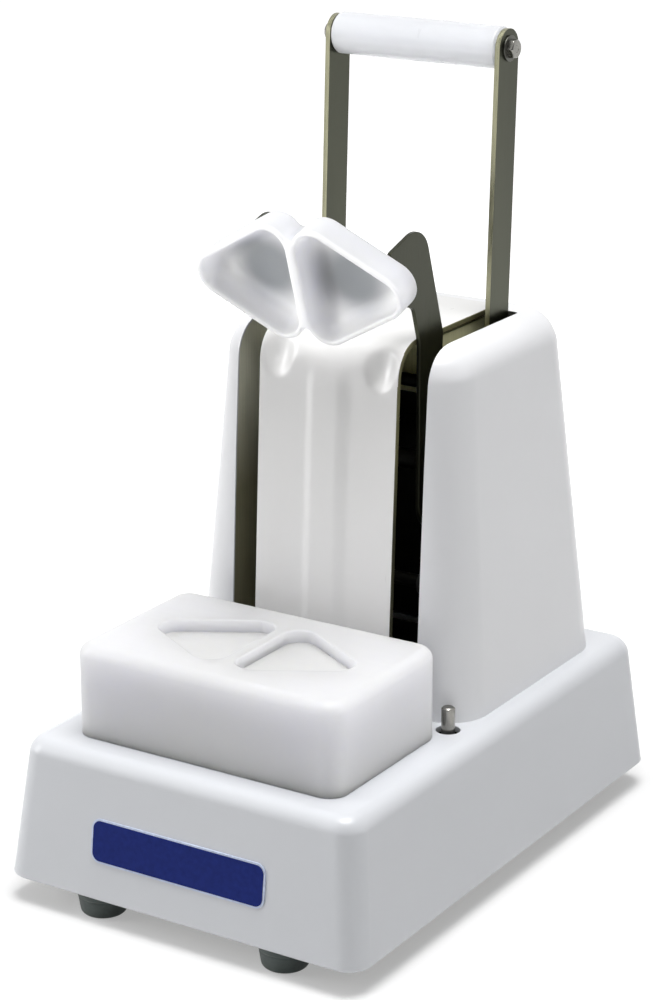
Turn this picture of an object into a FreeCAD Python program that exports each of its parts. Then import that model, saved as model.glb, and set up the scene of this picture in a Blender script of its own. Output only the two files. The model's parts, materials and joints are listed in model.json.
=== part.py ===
"""Tabletop hand press that shapes two triangular rice balls at a time.

Millimetres, +Z up, origin on the ground under the centre of the base.
-Y is the front, where the operator stands; +X is the right-hand side.
The lever is modelled open and upright, and closes forwards about the pivot shaft.
"""
import FreeCAD
import Part
import math
import os

from FreeCAD import Vector

# ---------------------------------------------------------------- driving sizes

# base housing
base_width = 240.0
base_depth = 348.0
foot_height = 15.0
housing_height = 84.0
side_draft = 9.0
front_draft = 10.0
rear_draft = 8.0
base_corner_radius = 14.0
base_edge_round = 10.0
base_bottom_round = 2.5
housing_wall = 4.0
bottom_plate_thickness = 2.0
bottom_plate_gap = 1.0
chassis_thickness = 3.0
chassis_margin = 6.0
deck_opening_round = 6.0
deck_opening_front_gap = 0.5
deck_opening_side_gap = 2.0
deck_opening_rear_gap = 8.0

# posts and screws that carry the bottom plate
standoff_radius = 6.0
standoff_margin = 6.0
middle_standoff_y = 20.0
standoff_screw_radius = 2.0
standoff_screw_reach = 10.0
standoff_screw_head_radius = 3.8
pan_head_share = 1.2

# rubber feet
foot_radius = 15.5
foot_tip_radius = 13.0
foot_round = 4.0
foot_x = 62.0
foot_end_inset = 18.0
foot_screw_radius = 2.5
foot_screw_head_radius = 4.5
foot_recess_depth = 5.0
foot_recess_gap = 1.0
foot_screw_reach = 4.0

# lower mold block
block_width = 177.0
block_depth = 110.0
block_height = 55.0
block_tower_gap = 13.5
block_corner_radius = 12.0
block_edge_round = 7.0
dowel_radius = 4.0
dowel_gap = 0.1
dowel_x = 70.0
dowel_front_gap = 18.0
dowel_reach = 12.0
dowel_top_gap = 1.0
pin_chamfer = 0.8

# triangular cups, the same in both molds
cup_centre_spacing = 44.0
cup_corner_radius = 11.3
cup_web = 7.4
cup_rim_round = 1.2

# upper mold
mold_depth = 20.0
cup_depth = 16.5
mold_wall = 3.0
mold_back_round = 3.0
cup_floor_round = 11.0
waist_half_width = 7.0
waist_notch = 8.5
closing_gap = 1.5

# ejector
ejector_thickness = 8.0
ejector_clearance = 0.4
open_recess = 7.0
ejector_stroke = 15.0
post_radius = 6.0
ejector_edge_round = 1.0
lift_frame_thickness = 5.0
lift_frame_drop = 45.0
rail_width = 18.0
yoke_thickness = 3.0
yoke_stem_width = 10.0
fork_prong = 5.0
fork_play = 0.5
guide_bush_wall = 3.0
guide_bush_flange = 4.0
guide_bush_flange_height = 2.0
guide_bush_drop = 8.0
yoke_foot_overhang = 6.0
lift_screw_radius = 3.5
lift_screw_head_height = 2.5
post_screw_radius = 5.0
post_screw_head_height = 3.0

# tower cover
tower_height = 216.0
tower_width_bottom = 194.0
tower_width_top = 160.0
tower_front_bottom = -21.5
tower_front_top = -10.0
tower_rear_bottom = 147.0
tower_rear_top = 127.0
tower_corner_radius = 25.0
tower_edge_round = 21.0
tower_wall = 3.5
slot_inner = 46.6
slot_width = 17.3
slot_rear_gap = 1.5
centre_cover_proud = 2.6
centre_cover_rise = 1.2
centre_cover_gap = 0.4
centre_rib_width = 30.0
centre_rib_proud = 1.8
centre_rib_height = 186.0
scoop_x = 34.5
scoop_half_width = 11.5
scoop_half_depth = 11.0
scoop_half_height = 27.0
scoop_setback = 3.5
centre_cover_rear_lap = 7.5

# screws through the back of the tower cover
cover_screw_radius = 2.5
cover_screw_head_radius = 4.6
cover_screw_head_height = 2.6
cover_screw_head_gap = 0.4
cover_screw_reach = 14.0
cover_standoff_radius = 6.0
low_cover_screw_x = 55.0
low_cover_screw_height = 24.0
high_cover_screw_x = 48.0
high_cover_screw_height = 150.0

# lever
closing_angle = 72.0
pivot_y = 67.0
pivot_above_deck = 124.0
shaft_radius = 6.0
mold_arm_thickness = 2.5
mold_arm_width = 24.5
mold_arm_clearance = 0.6
mold_arm_front_y = 5.5
mold_arm_top_above_cover = 67.2
mold_arm_tip_radius = 17.0
mold_arm_heel_radius = 18.0
mold_arm_rear_radius = 14.0
mold_arm_step_start = 30.0
mold_arm_step_end = 40.0
handle_arm_thickness = 3.0
handle_arm_width = 22.4
arm_spacing = 5.5
hub_radius = 23.0
grip_y = 87.7
grip_above_pivot = 247.0
handle_slope = 0.0445
grip_radius = 12.4
grip_chamfer = 1.6
grip_bolt_radius = 4.0
grip_bolt_length = 28.0
grip_bolt_flats = 10.0
grip_bolt_head_height = 4.0
grip_washer_radius = 7.5
grip_washer_thickness = 1.2
crank_pin_radius = 2.5
spacer_circle_radius = 16.5
spacer_angles = (-25.0, 65.0)
spacer_radius = 5.0
arm_bolt_radius = 2.5
arm_bolt_flats = 8.0
arm_bolt_head_height = 2.5
arm_bolt_overhang = 2.0
carrier_thickness = 3.0
carrier_height = 30.0
carrier_overhang = 1.0
carrier_corner_radius = 5.0
mold_screw_radius = 2.5
mold_screw_x = 30.0
mold_screw_half_spacing = 8.0
mold_screw_reach = 2.0
mold_screw_head_radius = 4.5

# inner frame
frame_thickness = 3.0
frame_gap = 0.7
frame_cover_gap = 1.5
frame_seat_gap = 0.3
frame_rear_corner = 30.0
frame_rear_y = 112.0
frame_top_gap = 4.0
frame_foot_width = 13.0
bush_wall = 2.0
bush_flange = 3.0
bush_flange_thickness = 2.0
bush_reach = 1.5
washer_gap = 0.3
washer_wall = 3.5
ring_gap = 2.0
ring_thickness = 1.2
ring_wall = 3.0
ring_groove_depth = 0.8
shaft_overhang = 5.0
running_clearance = 0.04
stop_rod_radius = 4.0
stop_sleeve_radius = 7.0
stop_gap = 0.3
stop_rod_overhang = 4.0
rear_stop_above_pivot = 39.0
closing_stop_reach = 30.0
web_thickness = 2.0
web_setback = 1.0
web_foot_gap = 10.0
bridge_flange = 20.5
bridge_thickness = 2.0
bridge_setback = 22.0
bridge_side_gap = 1.0
bridge_top_gap = 0.3
bridge_tail = 60.0

# return springs on the pivot shaft
spring_wire_radius = 1.25
spring_coil_radius = 10.0
spring_pitch = 3.2
spring_turns = 4.0
spring_inner_x = 24.0
spring_peg_radius = 3.0
spring_peg_y = 30.0
spring_peg_length = 14.0
spring_leg_overhang = 2.0
spring_hole_gap = 0.3

# mold release
release_x = 88.6
release_y = -26.0
release_hole_radius = 7.0
release_pin_radius = 4.0
release_pin_height = 14.0
release_travel = 8.0
release_spring_wire = 0.7
release_spring_gap = 2.0
release_spring_length = 7.5
release_spring_turns = 5.0
release_guide_wall = 4.0
release_pin_reach = 32.0
latch_bar_thickness = 4.0
latch_bar_radius = 8.0
latch_bar_gap = 0.3
latch_peg_x = 74.0
latch_peg_y = -56.0
latch_peg_radius = 4.0
latch_peg_reach = 5.0
peg_clearance = 0.3
peg_top_gap = 1.0

# blank badge
badge_width = 117.0
badge_height = 26.0
badge_thickness = 0.8
badge_corner = 6.0
badge_centre_z = 51.0
badge_border = 1.1

# ---------------------------------------------------------------- derived places

deck_z = foot_height + housing_height
deck_under_z = deck_z - housing_wall
chassis_under_z = deck_under_z - chassis_thickness
floor_top_z = foot_height + bottom_plate_thickness
base_front_y = -base_depth / 2
base_rear_y = base_depth / 2
block_rear_y = tower_front_bottom - block_tower_gap
block_front_y = block_rear_y - block_depth
cup_y = (block_front_y + block_rear_y) / 2
block_top_z = deck_z + block_height
dowel_y = block_front_y + dowel_front_gap

cup_circle = cup_centre_spacing / math.sqrt(3)
cup_x = cup_web / 2 + cup_corner_radius + cup_circle / 2

tower_top_z = deck_z + tower_height
slot_outer = slot_inner + slot_width

pivot_z = deck_z + pivot_above_deck
open_lean = 90.0 - closing_angle
mouth_z = block_top_z + closing_gap
mold_back_z = mouth_z + mold_depth

mold_arm_inner = slot_inner + mold_arm_clearance
mold_arm_outer = mold_arm_inner + mold_arm_thickness
handle_arm_inner = mold_arm_outer + arm_spacing
handle_arm_outer = handle_arm_inner + handle_arm_thickness
grip_z = pivot_z + grip_above_pivot
grip_half_length = handle_arm_inner

crank_radius = ejector_stroke / (2 * math.sin(math.radians(closing_angle / 2)))
crank_lift = ejector_stroke / 2
crank_y = pivot_y - math.sqrt(crank_radius ** 2 - crank_lift ** 2)
yoke_x = (mold_arm_outer + handle_arm_inner - yoke_thickness) / 2
yoke_stem_rear_y = pivot_y - crank_radius - crank_pin_radius - 1.0
yoke_stem_front_y = yoke_stem_rear_y - yoke_stem_width

ejector_top_z = block_top_z - open_recess
ejector_under_z = ejector_top_z - ejector_thickness
lift_top_z = chassis_under_z - lift_frame_drop + lift_frame_thickness
guide_inner_radius = post_radius + running_clearance
guide_outer_radius = guide_inner_radius + guide_bush_wall

frame_inner = slot_outer + frame_gap
frame_outer = frame_inner + frame_thickness
frame_top_z = tower_top_z - tower_wall - frame_top_gap
web_y = frame_rear_y - web_thickness - web_setback

latch_bar_top = chassis_under_z - latch_bar_gap
latch_bar_under = latch_bar_top - latch_bar_thickness
release_guide_top = latch_bar_under - release_travel - release_spring_length
peg_hole_radius = latch_peg_radius + peg_clearance


def handle_centre_y(z):
    """Y of the handle's centre line at height z."""
    return grip_y - handle_slope * (grip_z - z)


slot_rear_y = handle_centre_y(tower_top_z) + handle_arm_width / 2 + slot_rear_gap
rear_stop_z = pivot_z + rear_stop_above_pivot
rear_stop_y = handle_centre_y(rear_stop_z) + handle_arm_width / 2 + stop_sleeve_radius + stop_gap


# ---------------------------------------------------------------- shape helpers

def box(x0, x1, y0, y1, z0, z1):
    """Axis-aligned block between two corners."""
    return Part.makeBox(x1 - x0, y1 - y0, z1 - z0, Vector(x0, y0, z0))


def rod_x(x0, x1, y, z, radius):
    """Round bar along X."""
    return Part.makeCylinder(radius, x1 - x0, Vector(x0, y, z), Vector(1, 0, 0))


def rod_z(x, y, z0, z1, radius):
    """Round bar along Z."""
    return Part.makeCylinder(radius, z1 - z0, Vector(x, y, z0), Vector(0, 0, 1))


def rod_y(x, y0, y1, z, radius):
    """Round bar along Y."""
    return Part.makeCylinder(radius, y1 - y0, Vector(x, y0, z), Vector(0, 1, 0))


def hex_x(x0, x1, y, z, across_flats):
    """Hexagonal head along X."""
    reach = across_flats / math.sqrt(3)
    points = []
    for step in range(7):
        angle = math.radians(60 * step + 30)
        points.append(Vector(x0, y + reach * math.cos(angle), z + reach * math.sin(angle)))
    return Part.Face(Part.makePolygon(points)).extrude(Vector(x1 - x0, 0, 0))


def mirror_x(shape):
    """Left-hand copy of a right-hand shape."""
    return shape.mirror(Vector(0, 0, 0), Vector(1, 0, 0))


def both_sides(shape):
    """A right-hand solid and its left-hand copy as one group."""
    return Part.makeCompound([shape, mirror_x(shape)])


def rounded_outline(corners, place):
    """Closed wire through (a, b, radius) corners; place(a, b) gives the point in space."""
    count = len(corners)
    starts = []
    ends = []
    mids = []
    for i in range(count):
        a, b, radius = corners[i]
        here = Vector(a, b, 0)
        before = Vector(corners[i - 1][0], corners[i - 1][1], 0) - here
        after = Vector(corners[(i + 1) % count][0], corners[(i + 1) % count][1], 0) - here
        before.normalize()
        after.normalize()
        half = before.getAngle(after) / 2
        reach = radius / math.tan(half)
        bisector = before + after
        bisector.normalize()
        starts.append(here + before * reach)
        ends.append(here + after * reach)
        mids.append(here + bisector * (radius / math.sin(half) - radius))
    edges = []
    for i in range(count):
        start, end, mid = starts[i], ends[i], mids[i]
        if corners[i][2] > 0:
            arc = Part.Arc(place(start.x, start.y), place(mid.x, mid.y), place(end.x, end.y))
            edges.append(arc.toShape())
        following = starts[(i + 1) % count]
        if (following - end).Length > 1e-6:
            edges.append(Part.makeLine(place(end.x, end.y), place(following.x, following.y)))
    return Part.Wire(edges)


def flat_plate(corners, z0, z1):
    """Plate lying flat, from a rounded XY outline."""
    wire = rounded_outline(corners, lambda a, b: Vector(a, b, z0))
    return Part.Face(wire).extrude(Vector(0, 0, z1 - z0))


def side_plate(corners, x0, x1):
    """Plate standing along the machine, from a rounded YZ outline."""
    wire = rounded_outline(corners, lambda a, b: Vector(x0, a, b))
    return Part.Face(wire).extrude(Vector(x1 - x0, 0, 0))


def rectangle(x0, x1, y0, y1, radius):
    """Corners of a rounded rectangle."""
    return [(x0, y0, radius), (x1, y0, radius), (x1, y1, radius), (x0, y1, radius)]


def edges_at_height(shape, z, tolerance=0.01):
    """Edges that lie wholly in the plane at height z."""
    found = []
    for edge in shape.Edges:
        bounds = edge.BoundBox
        if abs(bounds.ZMin - z) < tolerance and abs(bounds.ZMax - z) < tolerance:
            found.append(edge)
    return found


def upright_edges(shape):
    """Straight edges that run along Z."""
    return [e for e in shape.Edges if e.BoundBox.ZLength > e.Length - 0.01]


def drafted_body(low, high, z0, z1, corner, edge_round):
    """Tapered rounded box between two rectangles (x0, x1, y0, y1), with a rounded top edge."""
    low_wire = rounded_outline(rectangle(*low, corner), lambda a, b: Vector(a, b, z0))
    high_wire = rounded_outline(rectangle(*high, corner), lambda a, b: Vector(a, b, z1))
    body = Part.makeLoft([low_wire, high_wire], True, True)
    return body.makeFillet(edge_round, edges_at_height(body, z1))


def open_pose(shape):
    """Swing a shape from its place in the closed press back to the open lever."""
    turned = shape.copy()
    turned.rotate(Vector(0, pivot_y, pivot_z), Vector(1, 0, 0), -closing_angle)
    return turned


def pan_head_z(x, y, z_head, z_end, radius, head_radius):
    """Pan-head screw along Z; the head stands on the side away from z_end."""
    sign = 1 if z_head > z_end else -1
    head_height = radius * pan_head_share
    shank = Part.makeCylinder(radius, abs(z_head - z_end), Vector(x, y, z_head), Vector(0, 0, -sign))
    head = Part.makeCylinder(head_radius, head_height, Vector(x, y, z_head), Vector(0, 0, sign))
    return shank.fuse(head).removeSplitter()


def save(name, shape):
    """Write one node."""
    shape.exportStep(os.path.join("parts", name + ".step"))


# ---------------------------------------------------------------- base

def base_rectangles(inset):
    """Bottom and top rectangles of the housing, drawn in by a wall thickness."""
    half = base_width / 2 - inset
    low = (-half, half, base_front_y + inset, base_rear_y - inset)
    top_half = half - side_draft
    high = (-top_half, top_half, low[2] + front_draft, low[3] - rear_draft)
    return low, high


def deck_opening():
    """Opening in the deck under the tower, where the inner frame stands."""
    half = frame_outer + frame_foot_width + deck_opening_side_gap
    front = tower_front_bottom + frame_cover_gap - deck_opening_front_gap
    opening = box(-half, half, front, frame_rear_y + deck_opening_rear_gap, deck_under_z - 1, deck_z + 1)
    return opening.makeFillet(deck_opening_round, upright_edges(opening))


def base_housing():
    low, high = base_rectangles(0.0)
    outer = drafted_body(low, high, foot_height, deck_z, base_corner_radius, base_edge_round)
    outer = outer.makeFillet(base_bottom_round, edges_at_height(outer, foot_height))
    low, high = base_rectangles(housing_wall)
    inner_corner = base_corner_radius - housing_wall
    inner_round = base_edge_round - housing_wall
    inner = drafted_body(low, high, foot_height - 0.001, deck_under_z, inner_corner, inner_round)
    shell = outer.cut(inner)
    shell = shell.cut(deck_opening())
    for side in (-1, 1):
        shell = shell.cut(rod_z(side * cup_x, cup_y, deck_under_z - 1, deck_z + 1, guide_outer_radius))
        shell = shell.cut(rod_z(side * dowel_x, dowel_y, deck_under_z - 1, deck_z + 1, dowel_radius))
    shell = shell.cut(rod_z(release_x, release_y, deck_under_z - 1, deck_z + 1, release_hole_radius))
    return shell.cut(rod_z(latch_peg_x, latch_peg_y, deck_under_z - 1, deck_z + 1, peg_hole_radius))


def bottom_plate():
    low, _ = base_rectangles(housing_wall + bottom_plate_gap)
    corner = base_corner_radius - housing_wall - bottom_plate_gap
    plate = flat_plate(rectangle(*low, corner), foot_height, floor_top_z)
    for x, y in foot_places():
        plate = plate.cut(rod_z(x, y, foot_height - 1, floor_top_z + 1, foot_screw_radius))
    for x, y in standoff_places():
        plate = plate.cut(rod_z(x, y, foot_height - 1, floor_top_z + 1, standoff_screw_radius))
    return plate


def chassis_plate():
    """Steel deck that carries the frame, screwed up under the moulded deck."""
    _, high = base_rectangles(housing_wall + chassis_margin)
    plate = flat_plate(rectangle(*high, chassis_margin), chassis_under_z, deck_under_z)
    for side in (-1, 1):
        plate = plate.cut(rod_z(side * cup_x, cup_y, chassis_under_z - 1, deck_z, guide_outer_radius))
        plate = plate.cut(rod_z(side * dowel_x, dowel_y, chassis_under_z - 1, deck_z, dowel_radius))
        stem = (side * (yoke_x + yoke_thickness / 2) - 3.5, side * (yoke_x + yoke_thickness / 2) + 3.5)
        plate = plate.cut(box(*stem, yoke_stem_front_y - 2, yoke_stem_rear_y + 2,
                              chassis_under_z - 1, deck_z))
    plate = plate.cut(rod_z(release_x, release_y, chassis_under_z - 1, deck_z, release_hole_radius))
    plate = plate.cut(rod_z(latch_peg_x, latch_peg_y, chassis_under_z - 1, deck_z, peg_hole_radius))
    for x, y in standoff_places():
        plate = plate.cut(rod_z(x, y, chassis_under_z - 1, deck_z, standoff_screw_radius))
    return plate


def foot_places():
    """Four feet; the rear pair mirrors the front pair."""
    y = base_depth / 2 - foot_end_inset
    return [(-foot_x, -y), (foot_x, -y), (-foot_x, y), (foot_x, y)]


def rubber_foot(x, y):
    foot = Part.makeCone(foot_tip_radius, foot_radius, foot_height, Vector(x, y, 0))
    foot = foot.makeFillet(foot_round, edges_at_height(foot, 0))
    foot = foot.cut(rod_z(x, y, -1, foot_recess_depth, foot_screw_head_radius + foot_recess_gap))
    return foot.cut(rod_z(x, y, -1, foot_height + 1, foot_screw_radius))


def foot_screws():
    screws = []
    for x, y in foot_places():
        screws.append(pan_head_z(x, y, foot_recess_depth, floor_top_z + foot_screw_reach, foot_screw_radius,
                                    foot_screw_head_radius))
    return Part.makeCompound(screws)


def standoff_places():
    """Posts between the bottom plate and the chassis plate, clear of the lift frame."""
    inset = housing_wall + chassis_margin + standoff_radius + standoff_margin
    x = base_width / 2 - side_draft - inset
    y = base_depth / 2 - front_draft - inset
    return [(side * x, place) for side in (-1, 1) for place in (-y, middle_standoff_y, y)]


def chassis_standoffs():
    posts = []
    for x, y in standoff_places():
        post = rod_z(x, y, floor_top_z, chassis_under_z, standoff_radius)
        posts.append(post.cut(rod_z(x, y, floor_top_z, chassis_under_z, standoff_screw_radius)))
    return Part.makeCompound(posts)


def bottom_screws():
    screws = []
    for x, y in standoff_places():
        screws.append(pan_head_z(x, y, foot_height, floor_top_z + standoff_screw_reach,
                                 standoff_screw_radius, standoff_screw_head_radius))
    return Part.makeCompound(screws)


def chassis_screws():
    screws = []
    for x, y in standoff_places():
        low = chassis_under_z - standoff_screw_reach
        screws.append(rod_z(x, y, low, deck_under_z, standoff_screw_radius))
    return Part.makeCompound(screws)


def badge_face_tilt():
    """Lean of the housing's front face from the vertical, in degrees."""
    return math.degrees(math.atan2(front_draft, housing_height))


def badge_plate(inset, thickness, lift):
    """Blank rounded plate on the housing's drafted front face."""
    half_x = badge_width / 2 - inset
    half_z = badge_height / 2 - inset
    corner = badge_corner - inset
    wire = rounded_outline(rectangle(-half_x, half_x, -half_z, half_z, corner),
                           lambda a, b: Vector(a, -lift, b))
    plate = Part.Face(wire).extrude(Vector(0, -thickness, 0))
    plate.rotate(Vector(0, 0, 0), Vector(1, 0, 0), -badge_face_tilt())
    face_y = base_front_y + front_draft * (badge_centre_z - foot_height) / housing_height
    plate.translate(Vector(0, face_y, badge_centre_z))
    return plate


# ---------------------------------------------------------------- molds

def cup_outline(side, corner):
    """Rounded triangle about a cup's centre, with its point towards the side."""
    reach = cup_circle + 2 * corner
    corners = []
    for step in range(3):
        angle = math.radians(120 * step)
        corners.append((side * (cup_x + reach * math.cos(angle)), cup_y + reach * math.sin(angle), corner))
    return corners


def lower_mold_block():
    half = block_width / 2
    outline = rectangle(-half, half, block_front_y, block_rear_y, block_corner_radius)
    block = flat_plate(outline, deck_z, block_top_z)
    block = block.makeFillet(block_edge_round, edges_at_height(block, block_top_z))
    for side in (-1, 1):
        block = block.cut(flat_plate(cup_outline(side, cup_corner_radius), deck_z - 1, block_top_z + 1))
    rim = []
    for edge in edges_at_height(block, block_top_z):
        if abs(edge.CenterOfMass.x) < cup_x + cup_circle + cup_corner_radius + 1:
            inside_y = abs(edge.CenterOfMass.y - cup_y) < cup_circle + cup_corner_radius
            if inside_y:
                rim.append(edge)
    block = block.makeFillet(cup_rim_round, rim)
    for side in (-1, 1):
        hole = rod_z(side * dowel_x, dowel_y, deck_z - 1, deck_z + dowel_reach, dowel_radius + dowel_gap)
        block = block.cut(hole)
    top = deck_z + latch_peg_reach + peg_top_gap
    return block.cut(rod_z(latch_peg_x, latch_peg_y, deck_z - 1, top, peg_hole_radius))


def upper_mold():
    """Two thin-walled cups side by side, drawn closed over the block and swung open."""
    outer_corner = cup_corner_radius + mold_wall
    body = flat_plate(cup_outline(1, outer_corner), mouth_z, mold_back_z)
    body = body.fuse(flat_plate(cup_outline(-1, outer_corner), mouth_z, mold_back_z))
    waist = cup_centre_spacing / 2 + outer_corner - waist_notch
    middle = box(-waist_half_width, waist_half_width, cup_y - waist, cup_y + waist, mouth_z, mold_back_z)
    body = body.fuse(middle).removeSplitter()
    body = body.makeFillet(mold_back_round, edges_at_height(body, mold_back_z))
    for side in (-1, 1):
        cup = flat_plate(cup_outline(side, cup_corner_radius), mouth_z - 1, mouth_z + cup_depth)
        cup = cup.makeFillet(cup_floor_round, edges_at_height(cup, mouth_z + cup_depth))
        body = body.cut(cup)
    body = body.makeFillet(cup_rim_round, edges_at_height(body, mouth_z))
    for side in (-1, 1):
        for x, y in mold_screw_places(side):
            hole_z = mold_back_z - mold_screw_reach
            body = body.cut(rod_z(x, y, hole_z, mold_back_z + 1, mold_screw_radius))
    return open_pose(body)


def mold_screw_places(side):
    """Two carrier screws behind each cup, in the closed press."""
    x = side * mold_screw_x
    return [(x, cup_y - mold_screw_half_spacing), (x, cup_y + mold_screw_half_spacing)]


def mold_carrier():
    """Stainless back plate that ties the two mold arms and carries the upper mold."""
    half = mold_arm_outer + carrier_overhang
    front = cup_y - carrier_height / 2
    outline = rectangle(-half, half, front, front + carrier_height, carrier_corner_radius)
    plate = flat_plate(outline, mold_back_z, mold_back_z + carrier_thickness)
    for side in (-1, 1):
        for x, y in mold_screw_places(side):
            plate = plate.cut(rod_z(x, y, mold_back_z - 1, mold_back_z + 10, mold_screw_radius))
    return open_pose(plate)


def mold_screws():
    screws = []
    head_z = mold_back_z + carrier_thickness
    for side in (-1, 1):
        for x, y in mold_screw_places(side):
            screw = pan_head_z(x, y, head_z, mold_back_z - mold_screw_reach, mold_screw_radius,
                               mold_screw_head_radius)
            screws.append(open_pose(screw))
    return Part.makeCompound(screws)


# ---------------------------------------------------------------- ejector

def ejector_plate(side):
    corner = cup_corner_radius - ejector_clearance
    plate = flat_plate(cup_outline(side, corner), ejector_under_z, ejector_top_z)
    return plate.makeFillet(ejector_edge_round, edges_at_height(plate, ejector_top_z))


def ejector_posts():
    return both_sides(rod_z(cup_x, cup_y, lift_top_z, ejector_under_z, post_radius))


def guide_bushes():
    """Plain bushes in the chassis that keep the ejector posts upright."""
    low = chassis_under_z - guide_bush_drop
    bush = rod_z(cup_x, cup_y, low, deck_z, guide_outer_radius)
    flange_z = chassis_under_z - guide_bush_flange_height
    flange = rod_z(cup_x, cup_y, flange_z, chassis_under_z, guide_outer_radius + guide_bush_flange)
    bush = bush.fuse(flange).removeSplitter()
    return both_sides(bush.cut(rod_z(cup_x, cup_y, low - 1, deck_z + 1, guide_inner_radius)))


def rail_centre():
    return yoke_x + yoke_thickness / 2


def lift_frame():
    """Flat frame under the chassis that joins the two yokes and the two ejector posts."""
    low = lift_top_z - lift_frame_thickness
    outer = rail_centre() + rail_width / 2
    inner = rail_centre() - rail_width / 2
    front = cup_y - rail_width
    back = yoke_stem_rear_y + yoke_foot_overhang
    plate = flat_plate(rectangle(-outer, outer, front, back, 4.0), low, lift_top_z)
    window = rectangle(-inner, inner, cup_y + rail_width, back + 20, 6.0)
    return plate.cut(flat_plate(window, low - 1, lift_top_z + 1))


def yoke(side):
    """Upright strip with a fork at its head; the lever's crank pin works in the fork."""
    slot_z = pivot_z + crank_lift
    half_slot = crank_pin_radius + fork_play
    fork_rear = pivot_y - shaft_radius - 3.0
    fork_top = slot_z + half_slot + fork_prong
    fork_low = slot_z - half_slot - fork_prong
    head = box(yoke_x, yoke_x + yoke_thickness, yoke_stem_front_y, fork_rear, fork_low, fork_top)
    slot = box(yoke_x - 1, yoke_x + yoke_thickness + 1, yoke_stem_rear_y, fork_rear + 1,
               slot_z - half_slot, slot_z + half_slot)
    stem = box(yoke_x, yoke_x + yoke_thickness, yoke_stem_front_y, yoke_stem_rear_y, lift_top_z, fork_low)
    foot_inner = rail_centre() - rail_width / 2 + 1
    foot = box(foot_inner, yoke_x + yoke_thickness, yoke_stem_front_y - yoke_foot_overhang,
               yoke_stem_rear_y + 4, lift_top_z, lift_top_z + yoke_thickness)
    shape = head.cut(slot).fuse([stem, foot]).removeSplitter()
    return shape if side > 0 else mirror_x(shape)


def lift_screws():
    """Screws through the lift frame into the yoke feet and the posts."""
    low = lift_top_z - lift_frame_thickness
    screw_x = rail_centre() - rail_width / 4
    screws = []
    for side in (-1, 1):
        for y in (yoke_stem_front_y - 2.5, yoke_stem_rear_y + 0.5):
            screws.append(rod_z(side * screw_x, y, low - lift_screw_head_height, low, lift_screw_radius))
        screws.append(rod_z(side * cup_x, cup_y, low - post_screw_head_height, low, post_screw_radius))
    return Part.makeCompound(screws)


# ---------------------------------------------------------------- tower covers

def tower_rectangles(inset, front_shift=0.0):
    """Bottom and top rectangles of the tower cover, drawn in by a wall thickness."""
    low_half = tower_width_bottom / 2 - inset
    high_half = tower_width_top / 2 - inset
    low = (-low_half, low_half, tower_front_bottom + inset - front_shift, tower_rear_bottom - inset)
    high = (-high_half, high_half, tower_front_top + inset - front_shift, tower_rear_top - inset)
    return low, high


def tower_solid(inset, front_shift=0.0, rise=0.0):
    low, high = tower_rectangles(inset, front_shift)
    top = tower_top_z + rise - inset
    corner = tower_corner_radius - inset
    return drafted_body(low, high, deck_z, top, corner, tower_edge_round - inset)


def tower_cover():
    """Outer cover: both sides and the back, open in the middle for the arms and centre cover."""
    shell = tower_solid(0.0).cut(tower_solid(tower_wall))
    front = tower_front_bottom - 20
    shell = shell.cut(box(-slot_outer, slot_outer, front, slot_rear_y, deck_z - 1, tower_top_z + 1))
    middle = slot_inner + centre_cover_gap
    shell = shell.cut(box(-middle, middle, front, centre_cover_rear() + centre_cover_gap,
                          deck_z - 1, tower_top_z + 1))
    for x, y, z in cover_screw_places():
        shell = shell.cut(rod_y(x, y - 20, y + 20, z, cover_screw_radius))
    return shell.cut(frame_seat())


def centre_cover_rear():
    return slot_rear_y + centre_cover_rear_lap


def scoop_tool(growth):
    """Pair of dished hollows at the top of the centre cover's front."""
    ball = Part.makeSphere(1.0)
    matrix = FreeCAD.Matrix()
    matrix.scale(scoop_half_width + growth, scoop_half_depth + growth, scoop_half_height + growth)
    ball = ball.transformGeometry(matrix)
    ball.translate(Vector(scoop_x, tower_front_top - centre_cover_proud - scoop_setback, tower_top_z))
    return [ball, mirror_x(ball)]


def centre_rib():
    """Shallow upright swelling down the middle of the centre cover's front."""
    half = centre_rib_width / 2
    lean = (tower_front_top - tower_front_bottom) / tower_height
    low_y = tower_front_bottom - centre_cover_proud
    radius = (half ** 2 + centre_rib_proud ** 2) / (2 * centre_rib_proud)
    rib = Part.makeCylinder(radius, centre_rib_height, Vector(0, radius - centre_rib_proud, 0))
    rib = rib.common(box(-half, half, -centre_rib_proud, tower_wall - 1, 0, centre_rib_height))
    rib.rotate(Vector(0, 0, 0), Vector(1, 0, 0), -math.degrees(math.atan(lean)))
    rib.translate(Vector(0, low_y, deck_z))
    return rib.cut(box(-half - 1, half + 1, low_y - 50, low_y + 50, deck_z - 10, deck_z))


def centre_cover():
    """Proud cover between the slots, running up the front and back over the top."""
    keep = box(-slot_inner, slot_inner, -200, centre_cover_rear(), 0, 1000)
    outer = tower_solid(0.0, centre_cover_proud, centre_cover_rise).common(keep)
    inner = tower_solid(tower_wall, centre_cover_proud, centre_cover_rise)
    shell = outer.fuse(centre_rib())
    for hollow, tool in zip(scoop_tool(tower_wall), scoop_tool(0.0)):
        shell = shell.cut(tool)
        inner = inner.cut(hollow)
    return shell.cut(inner)


def cover_screw_places():
    """Screws through the back of the cover, with the wall's Y at their height."""
    places = []
    heights = ((low_cover_screw_x, low_cover_screw_height), (high_cover_screw_x, high_cover_screw_height))
    for x, above in heights:
        share = above / tower_height
        y = tower_rear_bottom + (tower_rear_top - tower_rear_bottom) * share
        places.extend([(x, y, deck_z + above), (-x, y, deck_z + above)])
    return places


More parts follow.
